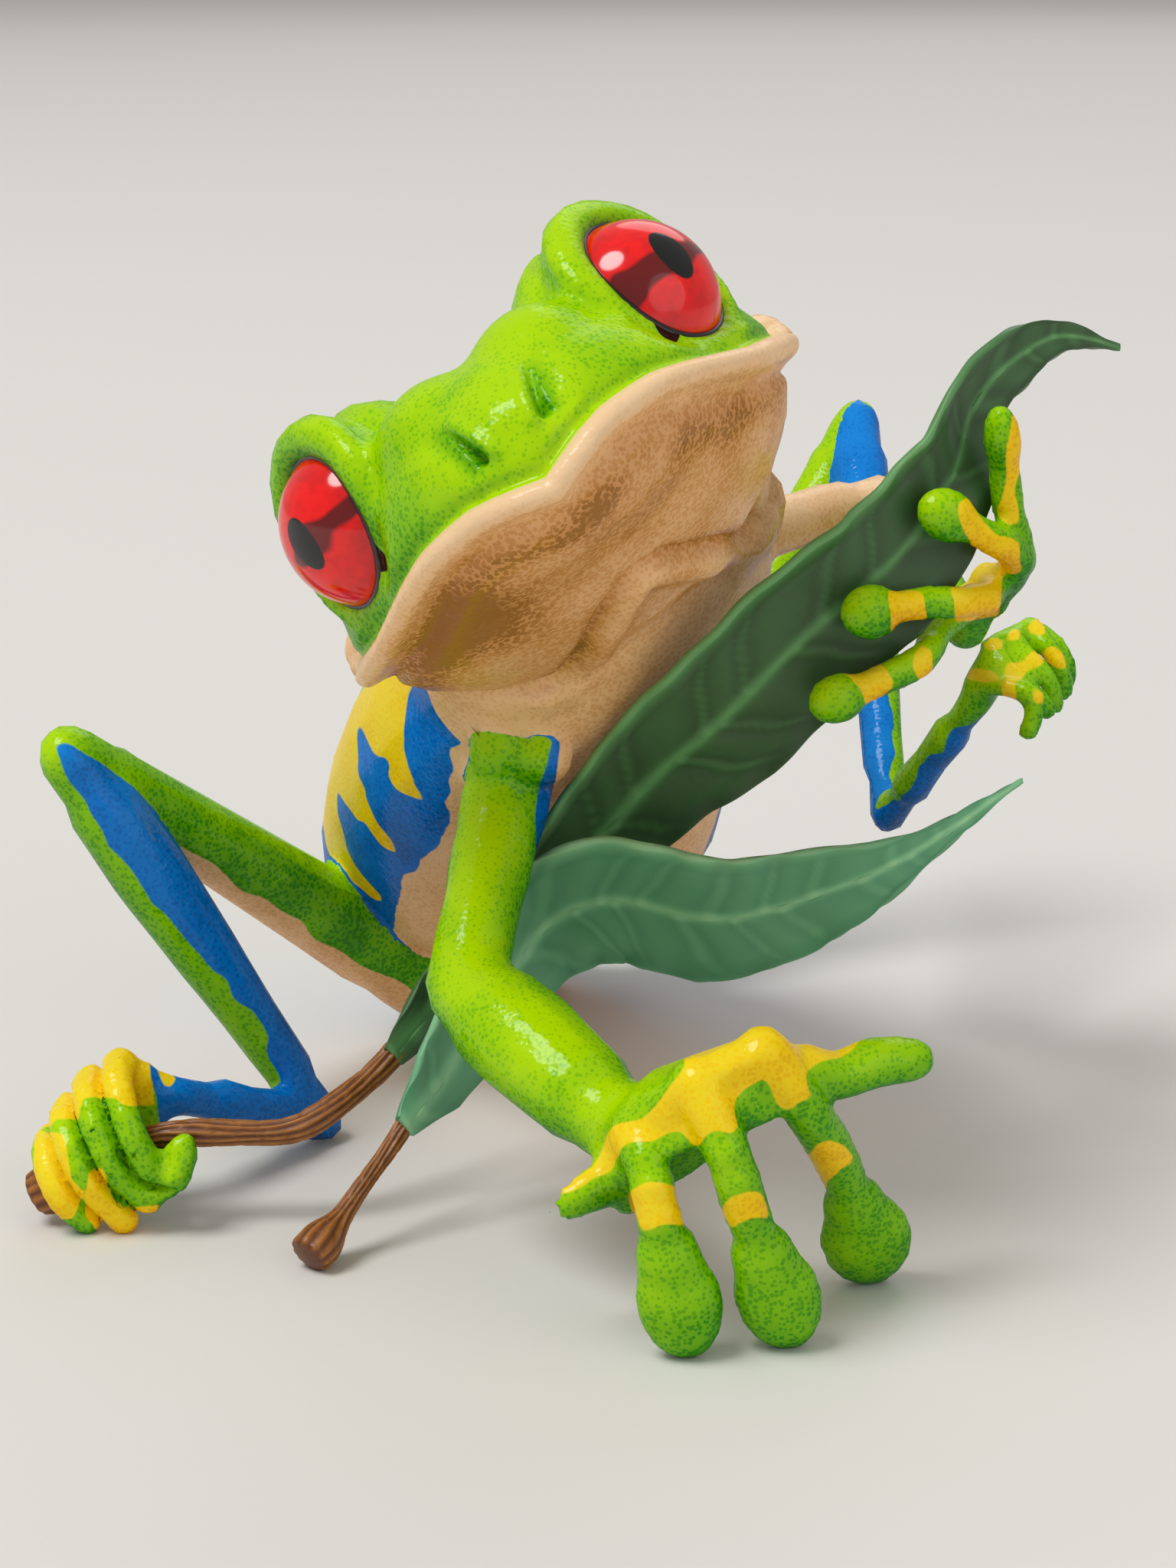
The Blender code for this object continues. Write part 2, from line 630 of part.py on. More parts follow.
LARGE_MIDRIB = (
    (-8.3, -3.5, 7.2),
    (-6.7, -1.7, 8.7),
    (-4.5, -0.3, 10.8),
    (-1.3, 0.0, 13.9),
    (3.0, -1.75, 19.2),
    (5.6, -2.9, 21.8),
    (9.4, -3.4, 25.9),
    (13.1, -2.6, 29.0),
    (15.7, -1.2, 32.5),
    (16.7, 0.2, 35.3),
    (18.8, 2.0, 37.2),
    (21.1, 4.0, 37.9),
    (24.1, 6.4, 37.1),
)
LARGE_WIDTHS = (0.5, 1.5, 1.9, 2.2, 2.9, 3.6, 3.6, 3.1, 2.4, 1.65, 1.25, 0.7, 0.25)
LARGE_STEM = (
    (-7.5, -2.6, 7.9),
    (-9.9, -4.9, 5.8),
    (-12.5, -6.7, 4.4),
    (-15.5, -7.0, 4.1),
    (-18.9, -7.0, 4.1),
    (-21.5, -7.0, 2.8),
    (-24.4, -7.0, 1.3),
)
SMALL_MIDRIB = (
    (-7.8, -7.6, 5.4),
    (-6.4, -5.6, 6.7),
    (-4.3, -3.9, 9.5),
    (-2.0, -2.2, 12.2),
    (1.3, -3.5, 13.9),
    (6.0, -6.9, 14.1),
    (11.2, -8.9, 16.3),
    (14.3, -9.7, 18.2),
    (18.1, -10.7, 21.3),
)
SMALL_WIDTHS = (0.5, 1.7, 2.1, 2.3, 2.7, 2.9, 2.8, 2.2, 1.2, 0.5, 0.25)
SMALL_STEM = (
    (-7.2, -6.8, 6.0),
    (-9.1, -9.2, 3.6),
    (-10.6, -11.0, 1.9),
    (-11.9, -12.6, 0.8),
)


def make_stem(points, radius, end_radius):
    radii = [radius * 0.85] + [radius] * (len(points) - 2) + [end_radius]
    rows = [(*p, r, r, r) for p, r in zip(points, radii, strict=True)]
    return loft(rows, 10, Vector((0, 0.3, 0.95)), 3, round_ends=(0.3, 0.3), name="stem")


def make_parts():
    torso = make_torso()
    parts = {"head": make_head(), "torso": torso}
    parts["eye_right"] = make_eye(-1)
    parts["eye_left"] = make_eye(1)

    down = Vector((0, 0, 1))
    arm_r = limb_piece(
        SHOULDER_R + Vector((0.3, 2.0, 1.4)),
        ELBOW_R,
        ((0, 2.2, 2.2), (0.4, 2.05, 1.95), (0.75, 1.75, 1.75), (1, 1.85, 1.85)),
        down,
    )
    shoulder = [ball(spot, [SHOULDER_LOBE_RADIUS] * 3, None, 12) for spot in SHOULDER_LOBES_R]
    arm_r = join([arm_r, *shoulder])
    fore_r = limb_piece(
        ELBOW_R, WRIST_R, ((0, 1.9, 1.9), (0.4, 2.5, 2.4), (0.8, 2.1, 2.0), (1, 1.8, 1.7)), down
    )
    arm_l = limb_piece(
        SHOULDER_L, ELBOW_L, ((0, 1.7, 1.7), (0.4, 1.4, 1.4), (1, 1.2, 1.2)), down
    )
    fore_l = limb_piece(
        ELBOW_L, WRIST_L, ((0, 1.2, 1.2), (0.35, 1.5, 1.5), (0.75, 1.2, 1.2), (1, 1.0, 1.0)), down
    )
    thigh_r = limb_piece(
        HIP_R,
        KNEE_R,
        ((0, 2.6, 2.5), (0.25, 2.4, 2.3), (0.6, 2.0, 1.9), (0.88, 1.7, 1.6), (1, 1.5, 1.5)),
        down,
    )
    shank_r = limb_piece(
        KNEE_R, HEEL_R, ((0, 1.5, 1.5), (0.3, 1.9, 1.8), (0.7, 1.3, 1.3), (1, 1.1, 1.1)), down
    )
    tarsus_r = limb_piece(
        HEEL_R, FOOT_ROOT_R, ((0, 1.1, 1.1), (0.5, 1.0, 1.0), (1, 1.05, 1.0)), down
    )
    thigh_l = limb_piece(
        HIP_L,
        KNEE_L,
        ((0, 3.0, 3.0), (0.25, 2.6, 2.6), (0.6, 1.9, 1.9), (0.88, 1.5, 1.4), (1, 1.3, 1.3)),
        down,
    )
    shank_l = limb_piece(
        KNEE_L, HEEL_L, ((0, 1.3, 1.3), (0.3, 1.6, 1.5), (0.7, 1.15, 1.15), (1, 1.0, 1.0)), down
    )
    tarsus_l = limb_piece(
        HEEL_L, FOOT_ROOT_L, ((0, 1.0, 1.0), (0.5, 0.85, 0.85), (1, 0.95, 0.95)), down
    )
    hand_r, hand_l = make_hand_right(), make_hand_left()
    foot_r, foot_l = make_foot_right(), make_foot_left()

    chains = (
        (SHOULDER_R, ELBOW_R, WRIST_R, Vector(fingers_right()[1][0]), (arm_r, fore_r, hand_r)),
        (SHOULDER_L, ELBOW_L, WRIST_L, Vector(fingers_left()[0][0]), (arm_l, fore_l, hand_l)),
    )
    for root, elbow, wrist, tip, (upper, fore, hand) in chains:
        part_at(upper, fore, elbow, middle_direction(root, elbow, wrist))
        part_at(fore, hand, wrist, middle_direction(elbow, wrist, tip))
    leg_r, leg_l = (thigh_r, shank_r, tarsus_r, foot_r), (thigh_l, shank_l, tarsus_l, foot_l)
    legs = (
        (HIP_R, KNEE_R, HEEL_R, FOOT_ROOT_R, FOOT_AIM_R, leg_r),
        (HIP_L, KNEE_L, HEEL_L, FOOT_ROOT_L, FOOT_AIM_L, leg_l),
    )
    for hip, knee, heel, root, tip, (thigh, shank, tarsus, foot) in legs:
        part_at(thigh, shank, knee, middle_direction(hip, knee, heel))
        part_at(shank, tarsus, heel, middle_direction(knee, heel, root))
        part_at(tarsus, foot, root, middle_direction(heel, root, tip))
    for limb in (arm_r, arm_l, thigh_r, thigh_l):
        keep_clear(limb, [torso])

    large_stem = make_stem(LARGE_STEM, LARGE_STEM_RADIUS, 1.1)
    small_stem = make_stem(SMALL_STEM, SMALL_STEM_RADIUS, 1.0)
    keep_clear(foot_r, [large_stem])
    across = Vector((0.55, 0.2, -0.8))
    large = blade(LARGE_MIDRIB, LARGE_WIDTHS, across, 0.35)
    small = blade(SMALL_MIDRIB, SMALL_WIDTHS, Vector((0.15, -0.1, -1.0)), 0.25)
    for stem, route, midrib in (
        (large_stem, LARGE_STEM, LARGE_MIDRIB),
        (small_stem, SMALL_STEM, SMALL_MIDRIB),
    ):
        along = (Vector(midrib[0]) - Vector(route[1])).normalized()
        cut_flat(stem, Vector(midrib[0]) - GAP * along, along)

    keep_clear(hand_l, [large])

    parts.update(
        upper_arm_right=arm_r,
        forearm_right=fore_r,
        hand_right=hand_r,
        upper_arm_left=arm_l,
        forearm_left=fore_l,
        hand_left=hand_l,
        thigh_right=thigh_r,
        shank_right=shank_r,
        tarsus_right=tarsus_r,
        foot_right=foot_r,
        thigh_left=thigh_l,
        shank_left=shank_l,
        tarsus_left=tarsus_l,
        foot_left=foot_l,
        leaf_large_blade=large,
        leaf_large_stem=large_stem,
        leaf_small_blade=small,
        leaf_small_stem=small_stem,
    )
    return parts


def middle_direction(before, joint, after):
    """Normal of the plane that halves the bend at a joint."""
    return ((joint - before).normalized() + (after - joint).normalized()).normalized()


def colour_of(name):
    if name.startswith("eye"):
        return RED, 0.05
    if name.startswith("leaf_large_blade"):
        return LEAF_GREEN, 0.45
    if name.startswith("leaf_small_blade"):
        return PALE_LEAF_GREEN, 0.45
    if name.startswith("leaf"):
        return BARK, 0.7
    if name == "torso":
        return TAN, 0.4
    if name.startswith(("shank", "tarsus")):
        return BLUE, 0.35
    return LIME, 0.35


def finish(parts):
    """Flatten what meets the floor, set materials, and move the whole to its own origin."""
    for part in parts.values():
        if min(v.co.z for v in part.data.vertices) < 0:
            cut_flat(part, Vector((0, 0, 0)), Vector((0, 0, -1)))
    spots = [v.co for part in parts.values() for v in part.data.vertices]
    low = Vector([min(s[k] for s in spots) for k in range(3)])
    high = Vector([max(s[k] for s in spots) for k in range(3)])
    middle = Vector(((low.x + high.x) / 2, (low.y + high.y) / 2, low.z))
    group = bpy.data.collections.new("tree_frog")
    bpy.context.scene.collection.children.link(group)
    for name, part in parts.items():
        part.name = name
        part.data.name = name
        part.data.transform(Matrix.Scale(MM, 4) @ Matrix.Translation(-middle))
        colour, roughness = colour_of(name)
        material = bpy.data.materials.new(name)
        material.use_nodes = True
        shader = material.node_tree.nodes["Principled BSDF"]
        shader.inputs["Base Color"].default_value = (*colour, 1)
        shader.inputs["Roughness"].default_value = roughness
        shader.inputs["Metallic"].default_value = 0.0
        part.data.materials.clear()
        part.data.materials.append(material)
        part.data.shade_smooth()
        part.data.set_sharp_from_angle(angle=math.radians(50))
        bpy.context.scene.collection.objects.unlink(part)
        group.objects.link(part)


for old in list(bpy.data.objects):
    bpy.data.objects.remove(old)
finish(make_parts())
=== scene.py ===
import math

import bmesh
import bpy
import numpy as np
from mathutils import Matrix, Vector
from mathutils.bvhtree import BVHTree


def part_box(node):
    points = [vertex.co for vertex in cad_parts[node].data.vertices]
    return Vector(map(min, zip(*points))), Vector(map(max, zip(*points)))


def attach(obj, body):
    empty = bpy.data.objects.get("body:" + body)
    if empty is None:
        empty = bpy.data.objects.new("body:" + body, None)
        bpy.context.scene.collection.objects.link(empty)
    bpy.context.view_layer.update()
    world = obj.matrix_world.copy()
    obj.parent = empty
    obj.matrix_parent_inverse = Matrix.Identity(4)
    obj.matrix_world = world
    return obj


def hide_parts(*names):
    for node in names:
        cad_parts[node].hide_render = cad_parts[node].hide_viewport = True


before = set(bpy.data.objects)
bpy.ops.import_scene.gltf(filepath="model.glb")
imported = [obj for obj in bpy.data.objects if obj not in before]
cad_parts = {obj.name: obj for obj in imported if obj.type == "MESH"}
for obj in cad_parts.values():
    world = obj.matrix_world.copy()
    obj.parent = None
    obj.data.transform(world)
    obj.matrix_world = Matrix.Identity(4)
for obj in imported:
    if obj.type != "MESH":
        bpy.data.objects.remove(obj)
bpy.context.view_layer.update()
print("frame loaded:", len(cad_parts), "solids")

# Places are in millimetres: x to the viewer's right, y away from the viewer and z up from the floor
mm = 0.001
headMiddle = Vector((-1.3, -10.5, 33.6))
headAhead = Vector((-0.122, -0.941, 0.315)).normalized()
headUp = Vector((-0.605, 0.322, 0.728))
headLeft = headUp.cross(headAhead).normalized()
headUp = headAhead.cross(headLeft).normalized()


def inHead(left, ahead, up):
    return headMiddle + left * headLeft + ahead * headAhead + up * headUp


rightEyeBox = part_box("eye_right")
shift = (rightEyeBox[0] + rightEyeBox[1]) / 2 - inHead(-7.0, 1.0, 3.6) * mm
toFrame = Matrix.Translation(shift) @ Matrix.Scale(mm, 4)


# Camera at the picture's angle

view = {
    "place": (0, -140.2, 55.8),
    "tilt": 75,  # degrees up from looking straight down
    "lens": 73.8,
}
cameraData = bpy.data.cameras.new("camera")
cameraData.lens = view["lens"]
cameraData.sensor_width = 36
cameraData.clip_start = 0.01
camera = bpy.data.objects.new("camera", cameraData)
camera.location = toFrame @ Vector(view["place"])
camera.rotation_euler = (math.radians(view["tilt"]), 0, 0)
bpy.context.scene.collection.objects.link(camera)
bpy.context.scene.camera = camera


# Helpers


def hexColour(code):
    channels = [int(code[i : i + 2], 16) / 255 for i in (1, 3, 5)]
    bent = [c / 12.92 if c <= 0.04045 else ((c + 0.055) / 1.055) ** 2.4 for c in channels]
    return (*bent, 1.0)


def addNode(tree, kind, inputs=None, **settings):
    made = tree.nodes.new(kind)
    for name, value in settings.items():
        setattr(made, name, value)
    for key, value in (inputs or {}).items():
        if isinstance(value, bpy.types.NodeSocket):
            tree.links.new(value, made.inputs[key])
        else:
            made.inputs[key].default_value = value
    return made


def newMaterial(name, **sockets):
    material = bpy.data.materials.new(name)
    material.use_nodes = True
    tree = material.node_tree
    shader = tree.nodes["Principled BSDF"]
    for key, value in sockets.items():
        shader.inputs[key.replace("_", " ")].default_value = value
    return material, tree, shader


def setRamp(ramp, stops):
    elements = ramp.color_ramp.elements
    while len(elements) > 1:
        elements.remove(elements[-1])
    for i, (place, colour) in enumerate(stops):
        element = elements[0] if i == 0 else elements.new(place)
        element.position = place
        element.color = hexColour(colour) if isinstance(colour, str) else (colour, colour, colour, 1)
    return ramp


def makeObject(name, bm, material=None, place=toFrame):
    mesh = bpy.data.meshes.new(name)
    bmesh.ops.transform(bm, matrix=place, verts=bm.verts)
    bm.to_mesh(mesh)
    bm.free()
    mesh.shade_smooth()
    made = bpy.data.objects.new(name, mesh)
    bpy.context.scene.collection.objects.link(made)
    if material:
        mesh.materials.append(material)
    return made


def applyModifiers(made):
    depsgraph = bpy.context.evaluated_depsgraph_get()
    mesh = bpy.data.meshes.new_from_object(made.evaluated_get(depsgraph))
    made.modifiers.clear()
    made.data = mesh
    return made


# Copies of CAD solids as one bmesh in drawing millimetres, merged, and grown where they meet
def cadCopy(names, grow=0.0):
    gathered = bmesh.new()
    toDrawing = toFrame.inverted()
    for name in names:
        one = bmesh.new()
        one.from_mesh(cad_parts[name].data)
        bmesh.ops.remove_doubles(one, verts=one.verts, dist=1e-7)
        bmesh.ops.transform(one, matrix=toDrawing, verts=one.verts)
        if grow:
            one.normal_update()
            shares = meeting(np.array([v.co for v in one.verts]))
            moves = [v.co + v.normal * grow * s for v, s in zip(one.verts, shares, strict=True)]
            for vert, spot in zip(one.verts, moves, strict=True):
                vert.co = spot
        mesh = bpy.data.meshes.new("part")
        one.to_mesh(mesh)
        one.free()
        gathered.from_mesh(mesh)
        bpy.data.meshes.remove(mesh)
    return gathered


def curveThrough(points, steps):
    points = np.array(points, float)
    padded = np.vstack([2 * points[0] - points[1], points, 2 * points[-1] - points[-2]])
    t = (np.arange(steps) / steps)[:, None]
    spans = []
    for a, b, c, d in zip(padded, padded[1:], padded[2:], padded[3:], strict=False):
        spans.append(
            0.5
            * (
                2 * b
                + (c - a) * t
                + (2 * a - 5 * b + 4 * c - d) * t**2
                + (3 * b - a - 3 * c + d) * t**3
            )
        )
    return np.vstack([*spans, points[-1:]])


def setAttribute(mesh, name, values, kind="FLOAT"):
    attribute = mesh.attributes.new(name, kind, "POINT")
    key = "value" if kind == "FLOAT" else "vector"
    attribute.data.foreach_set(key, np.asarray(values, np.float32).ravel())


def coordinates(mesh):
    flat = np.empty(len(mesh.vertices) * 3)
    mesh.vertices.foreach_get("co", flat)
    return flat.reshape(-1, 3)


def normalsOf(mesh):
    flat = np.empty(len(mesh.vertices) * 3)
    mesh.vertex_normals.foreach_get("vector", flat)
    return flat.reshape(-1, 3)


# The skin: one mesh over all the flesh

skin = {
    "grow": 0.25,  # closes the gaps between the solids before they are joined
    "voxel": 0.26,
    "smoothing": 8,
    "joint smoothing": 16,
    "triangles": 192000,  # left once the plain stretches are thinned out
}
flesh = ["head", "torso"]
for side in ("right", "left"):
    for part in ("upper_arm", "forearm", "hand", "thigh", "shank", "tarsus", "foot"):
        flesh.append(f"{part}_{side}")


# 1 near a joint between two solids, falling to 0 away from it
def meeting(spots):
    share = np.clip(2 - np.abs((spots - headMiddle) @ headAhead + 8.7) / 1.2, 0, 1)
    for places, reach in ((joints["knees and elbows"], 2.6), (joints["roots"], 5.5)):
        for place in places:
            away = np.linalg.norm(spots - np.array(place), axis=1)
            share = np.maximum(share, np.clip((reach * 1.3 - away) / (reach * 0.3), 0, 1))
    return share


# Function that averages values over the neighbours of each point of a mesh
def averager(mesh):
    ends = np.empty(len(mesh.edges) * 2, np.int32)
    mesh.edges.foreach_get("vertices", ends)
    ends = ends.reshape(-1, 2)
    count = len(mesh.vertices)
    near = np.maximum(np.bincount(ends.ravel(), minlength=count), 1)

    def average(values):
        columns = values.reshape(count, -1)
        total = np.zeros_like(columns)
        for k in range(columns.shape[1]):
            for a, b in ((0, 1), (1, 0)):
                total[:, k] += np.bincount(ends[:, a], columns[ends[:, b], k], minlength=count)
        return (total / near[:, None]).reshape(values.shape)

    return average


joints = {
    "knees and elbows": (
        (-5.3, -9.0, 11.6),
        (1.5, -16.6, 8.0),
        (14.3, 14.7, 28.8),
        (17.3, 3.9, 24.4),
        (-23.3, -0.8, 19.8),
        (-12.5, 2.9, 0.9),
        (-18.6, -4.5, 5.0),
        (14.9, 37.0, 29.2),
        (15.2, 16.8, 12.0),
        (18.6, 9.2, 20.0),
    ),
    "reach": 2.6,
    "roots": ((-2.6, 3.4, 22.0), (6.3, 6.4, 28.2), (-7.5, 16.3, 3.2), (1.6, 25.6, 4.8)),
    "root reach": 4.5,
}


eye = {
    "radius": 3.5,
    "middle": (7.0, 1.0, 3.6),  # left, ahead and up from the middle of the head
    "splay": 55,
    "lift": 10,
    "gaze splay": 43,
    "gaze lift": 3,
    "pupil": (0.72, 1.22),  # half width and half height
    "roll radius": 3.72,
    "roll tube": 0.88,
    "roll ahead": 1.1,
    "roll lean": 0.4,  # radians from straight up to the front, where the roll is thickest
}


def direction(sign, splay, lift):
    splay, lift = math.radians(splay), math.radians(lift)
    flat = math.cos(splay) * headAhead + sign * math.sin(splay) * headLeft
    return math.cos(lift) * flat + math.sin(lift) * headUp


# Middle of an eye and its own axes: towards the nose, up and outwards
def eyeAxes(sign):
    middle = inHead(sign * eye["middle"][0], *eye["middle"][1:])
    outward = direction(sign, eye["splay"], eye["lift"])
    front = (headAhead - headAhead.dot(outward) * outward).normalized()
    rise = (headUp - headUp.dot(outward) * outward).normalized()
    rise = (rise - rise.dot(front) * front).normalized()
    return middle, front, rise, outward


# Closed tube round a middle line, as a bmesh in the plane of x and y
def ringOf(radius, tube, turns, sides=12):
    bm = bmesh.new()
    bmesh.ops.create_circle(bm, segments=sides, radius=tube)
    stand = Matrix.Translation((radius, 0, 0)) @ Matrix.Rotation(math.pi / 2, 4, "X")
    bmesh.ops.transform(bm, matrix=stand, verts=bm.verts)
    bmesh.ops.spin(
        bm,
        geom=bm.verts[:] + bm.edges[:],
        axis=(0, 0, 1),
        angle=2 * math.pi,
        steps=turns,
        use_merge=True,
    )
    bmesh.ops.recalc_face_normals(bm, faces=bm.faces)
    return bm


# Round roll of the brow, which closes the hollow between the lids and the eye
def addBrowRoll(bm, sign):
    middle, front, rise, outward = eyeAxes(sign)
    ring = ringOf(eye["roll radius"], eye["roll tube"], 48)
    thickest = Vector((math.sin(eye["roll lean"]), math.cos(eye["roll lean"]), 0))
    for vert in ring.verts:
        out = Vector((vert.co.x, vert.co.y, 0)).normalized()
        share = min(max((out.dot(thickest) + 0.45) / 0.95, 0), 1)
        middleOfTube = eye["roll radius"] * out
        vert.co = middleOfTube + (vert.co - middleOfTube) * (0.5 + 0.5 * share)
    turn = Matrix((front, rise, outward)).transposed().to_4x4()
    place = Matrix.Translation(middle + 0.12 * rise + eye["roll ahead"] * outward) @ turn
    bmesh.ops.transform(ring, matrix=place, verts=ring.verts)
    bmesh.ops.recalc_face_normals(ring, faces=ring.faces)
    mesh = bpy.data.meshes.new("roll")
    ring.to_mesh(mesh)
    ring.free()
    bm.from_mesh(mesh)
    bpy.data.meshes.remove(mesh)


# The roll of the lip ends at each corner of the mouth in a hook that turns up and inwards
def addLipHook(bm, sign):
    hook = curveThrough([inHead(sign * p[0], *p[1:]) for p in face["hook"]], 5)
    for spot in hook:
        place = Matrix.Translation(Vector(spot))
        bmesh.ops.create_icosphere(bm, subdivisions=2, radius=face["hook radius"], matrix=place)


# 1 where the skin is smoothed most, at the joints and over the crown, and 0 elsewhere
def softness(spots):
    soft = np.zeros(len(spots), bool)
    for joint in joints["knees and elbows"]:
        soft |= np.linalg.norm(spots - joint, axis=1) < joints["reach"]
    for joint in joints["roots"]:
        soft |= np.linalg.norm(spots - joint, axis=1) < joints["root reach"]
    left, ahead, up = headPlaces(spots)
    soft |= (np.linalg.norm(spots - np.array(headMiddle), axis=1) < 13) & (up > -0.5) & (ahead > -9)
    for sign in (-1, 1):
        middle, _, _, outward = eyeAxes(sign)
        away = spots - np.array(middle)
        soft &= (np.linalg.norm(away, axis=1) > 4.9) | (away @ np.array(outward) < 0)
    return soft.astype(float)


# One closed surface over all the flesh: joined, smoothed, most of all at the joints, and carved
def makeSkin():
    bm = cadCopy(flesh, skin["grow"])
    for sign in (-1, 1):
        addBrowRoll(bm, sign)
        addLipHook(bm, sign)
    made = makeObject("frog_skin", bm, place=Matrix.Identity(4))
    remesh = made.modifiers.new("Remesh", "REMESH")
    remesh.mode = "VOXEL"
    remesh.voxel_size = skin["voxel"]
    applyModifiers(made)
    average = averager(made.data)
    spots = coordinates(made.data)
    for _ in range(skin["smoothing"]):
        spots += 0.5 * (average(spots) - spots)
        spots -= 0.53 * (average(spots) - spots)
    soft = softness(spots)[:, None]
    for _ in range(skin["joint smoothing"]):
        spots += 0.5 * soft * (average(spots) - spots)
    made.data.vertices.foreach_set("co", spots.ravel())
    made.data.update()
    spots -= normalsOf(made.data) * (skin["grow"] * meeting(spots))[:, None]
    spots[:, 2] = np.maximum(spots[:, 2], 0)
    made.data.vertices.foreach_set("co", spots.ravel())
    bm = bmesh.new()
    bm.from_mesh(made.data)
    refineFace(bm)
    carveFace(bm)
    bm.verts.ensure_lookup_table()
    carveToes(bm)
    for vert in bm.verts:
        vert.co.z = max(vert.co.z, 0)
    bm.to_mesh(made.data)
    bm.free()
    return made


face = {
    "mouth corner": -5.4,
    "snout tip": 10.4,
    # height of the lip at shares of the way from a corner of the mouth to the snout
    "lip wave": ((0, 0.1, 0.31, 0.45, 0.6, 0.78, 1), (0.1, -0.8, -1.3, -1.15, -0.9, -1.15, -2.2)),
    "corner curl": (10.7, -6.0, 0.7),
    # points along the hooked end of the lip: left, ahead and up from the middle of the head
    "hook": ((10.6, -4.4, -0.3), (11.1, -5.6, 0.1), (11.1, -6.5, 1.0), (10.4, -6.7, 1.7), (9.7, -6.2, 1.7)),
    "hook radius": 0.68,
    "nostril top": (2.0, 9.0, 2.4),
    "nostril bottom": (1.5, 9.8, 0.5),
    "nostril depth": 0.75,
    "lip roll": 0.12,
    "groove depth": 0.3,
    "brow crease": 0.42,
    # where the throat sac folds over the chest
    "collar": (
        (7.6, 2.0, 30.6),
        (6.8, -2.1, 30.2),
        (5.1, -7.7, 30.5),
        (2.9, -11.3, 30.8),
        (1.7, -11.9, 30.1),
        (0.8, -10.6, 28.5),
        (0.1, -8.5, 26.6),
        (-0.6, -6.4, 25.2),
        (-2.0, -4.9, 24.2),
    ),
}


def headPlaces(spots):
    away = spots - np.array(headMiddle)
    return [away @ np.array(v) for v in (headLeft, headAhead, headUp)]


# Height of the middle of the lip, which is the way along the side ahead and the way across round the snout
def lipHeight(left, ahead):
    share = (ahead - face["mouth corner"]) / (face["snout tip"] - face["mouth corner"])
    alongSide = np.arcsin(np.clip(share, 0, 1)) * 2 / math.pi
    roundSnout = np.clip(1 - 0.071 * np.abs(left), 0, 1)
    front = np.clip((ahead - 6) / 2, 0, 1)
    return np.interp(alongSide + front * (roundSnout - alongSide), *face["lip wave"])


def swell(distance, width):
    return np.exp(-((distance / width) ** 2))


def fromSegment(spots, start, end):
    start, end = np.array(start), np.array(end)
    share = np.clip((spots - start) @ (end - start) / ((end - start) @ (end - start)), 0, 1)
    return np.linalg.norm(spots - start - share[:, None] * (end - start), axis=1), share


# Distance from the fold of the collar, negative on the side of the throat
def fromCollar(spots):
    nearest = np.full(len(spots), 9.0)
    behind = np.ones(len(spots))
    line = [np.array(p) for p in face["collar"]]
    for start, end in zip(line, line[1:], strict=False):
        away, share = fromSegment(spots, start, end)
        inward = spots - start - share[:, None] * (end - start)
        side = -inward @ np.array(headAhead) * 0.8 - inward @ np.array(headUp) * 0.6
        closer = away < nearest
        nearest = np.where(closer, away, nearest)
        behind = np.where(closer, np.sign(side), behind)
    return nearest * behind


# Finer mesh round the eyes, the lips and the nostrils
def refineFace(bm):
    spots = np.array([v.co for v in bm.verts])
    left, ahead, up = headPlaces(spots)
    onHead = np.hypot(left, ahead) < 13
    fine = onHead & (np.abs(up - lipHeight(left, ahead) + 0.2) < 1.5) & (ahead > -7.5)
    fine |= onHead & (np.abs(np.abs(left) - 1.8) < 1.3) & (ahead > 7) & (up > -0.6)
    for sign in (-1, 1):
        middle, _, _, outward = eyeAxes(sign)
        away = spots - np.array(middle)
        fine |= (np.linalg.norm(away, axis=1) < 4.9) & (away @ np.array(outward) > 0)
    fine |= np.linalg.norm(spots - toes["middle"], axis=1) < 4.6
    bm.verts.ensure_lookup_table()
    chosen = {bm.verts[i] for i in np.nonzero(fine)[0]}
    edges = [e for e in bm.edges if e.verts[0] in chosen and e.verts[1] in chosen]
    bmesh.ops.subdivide_edges(bm, edges=edges, cuts=1, use_grid_fill=True, smooth=0.3)
    bmesh.ops.triangulate(bm, faces=[f for f in bm.faces if len(f.verts) > 4])


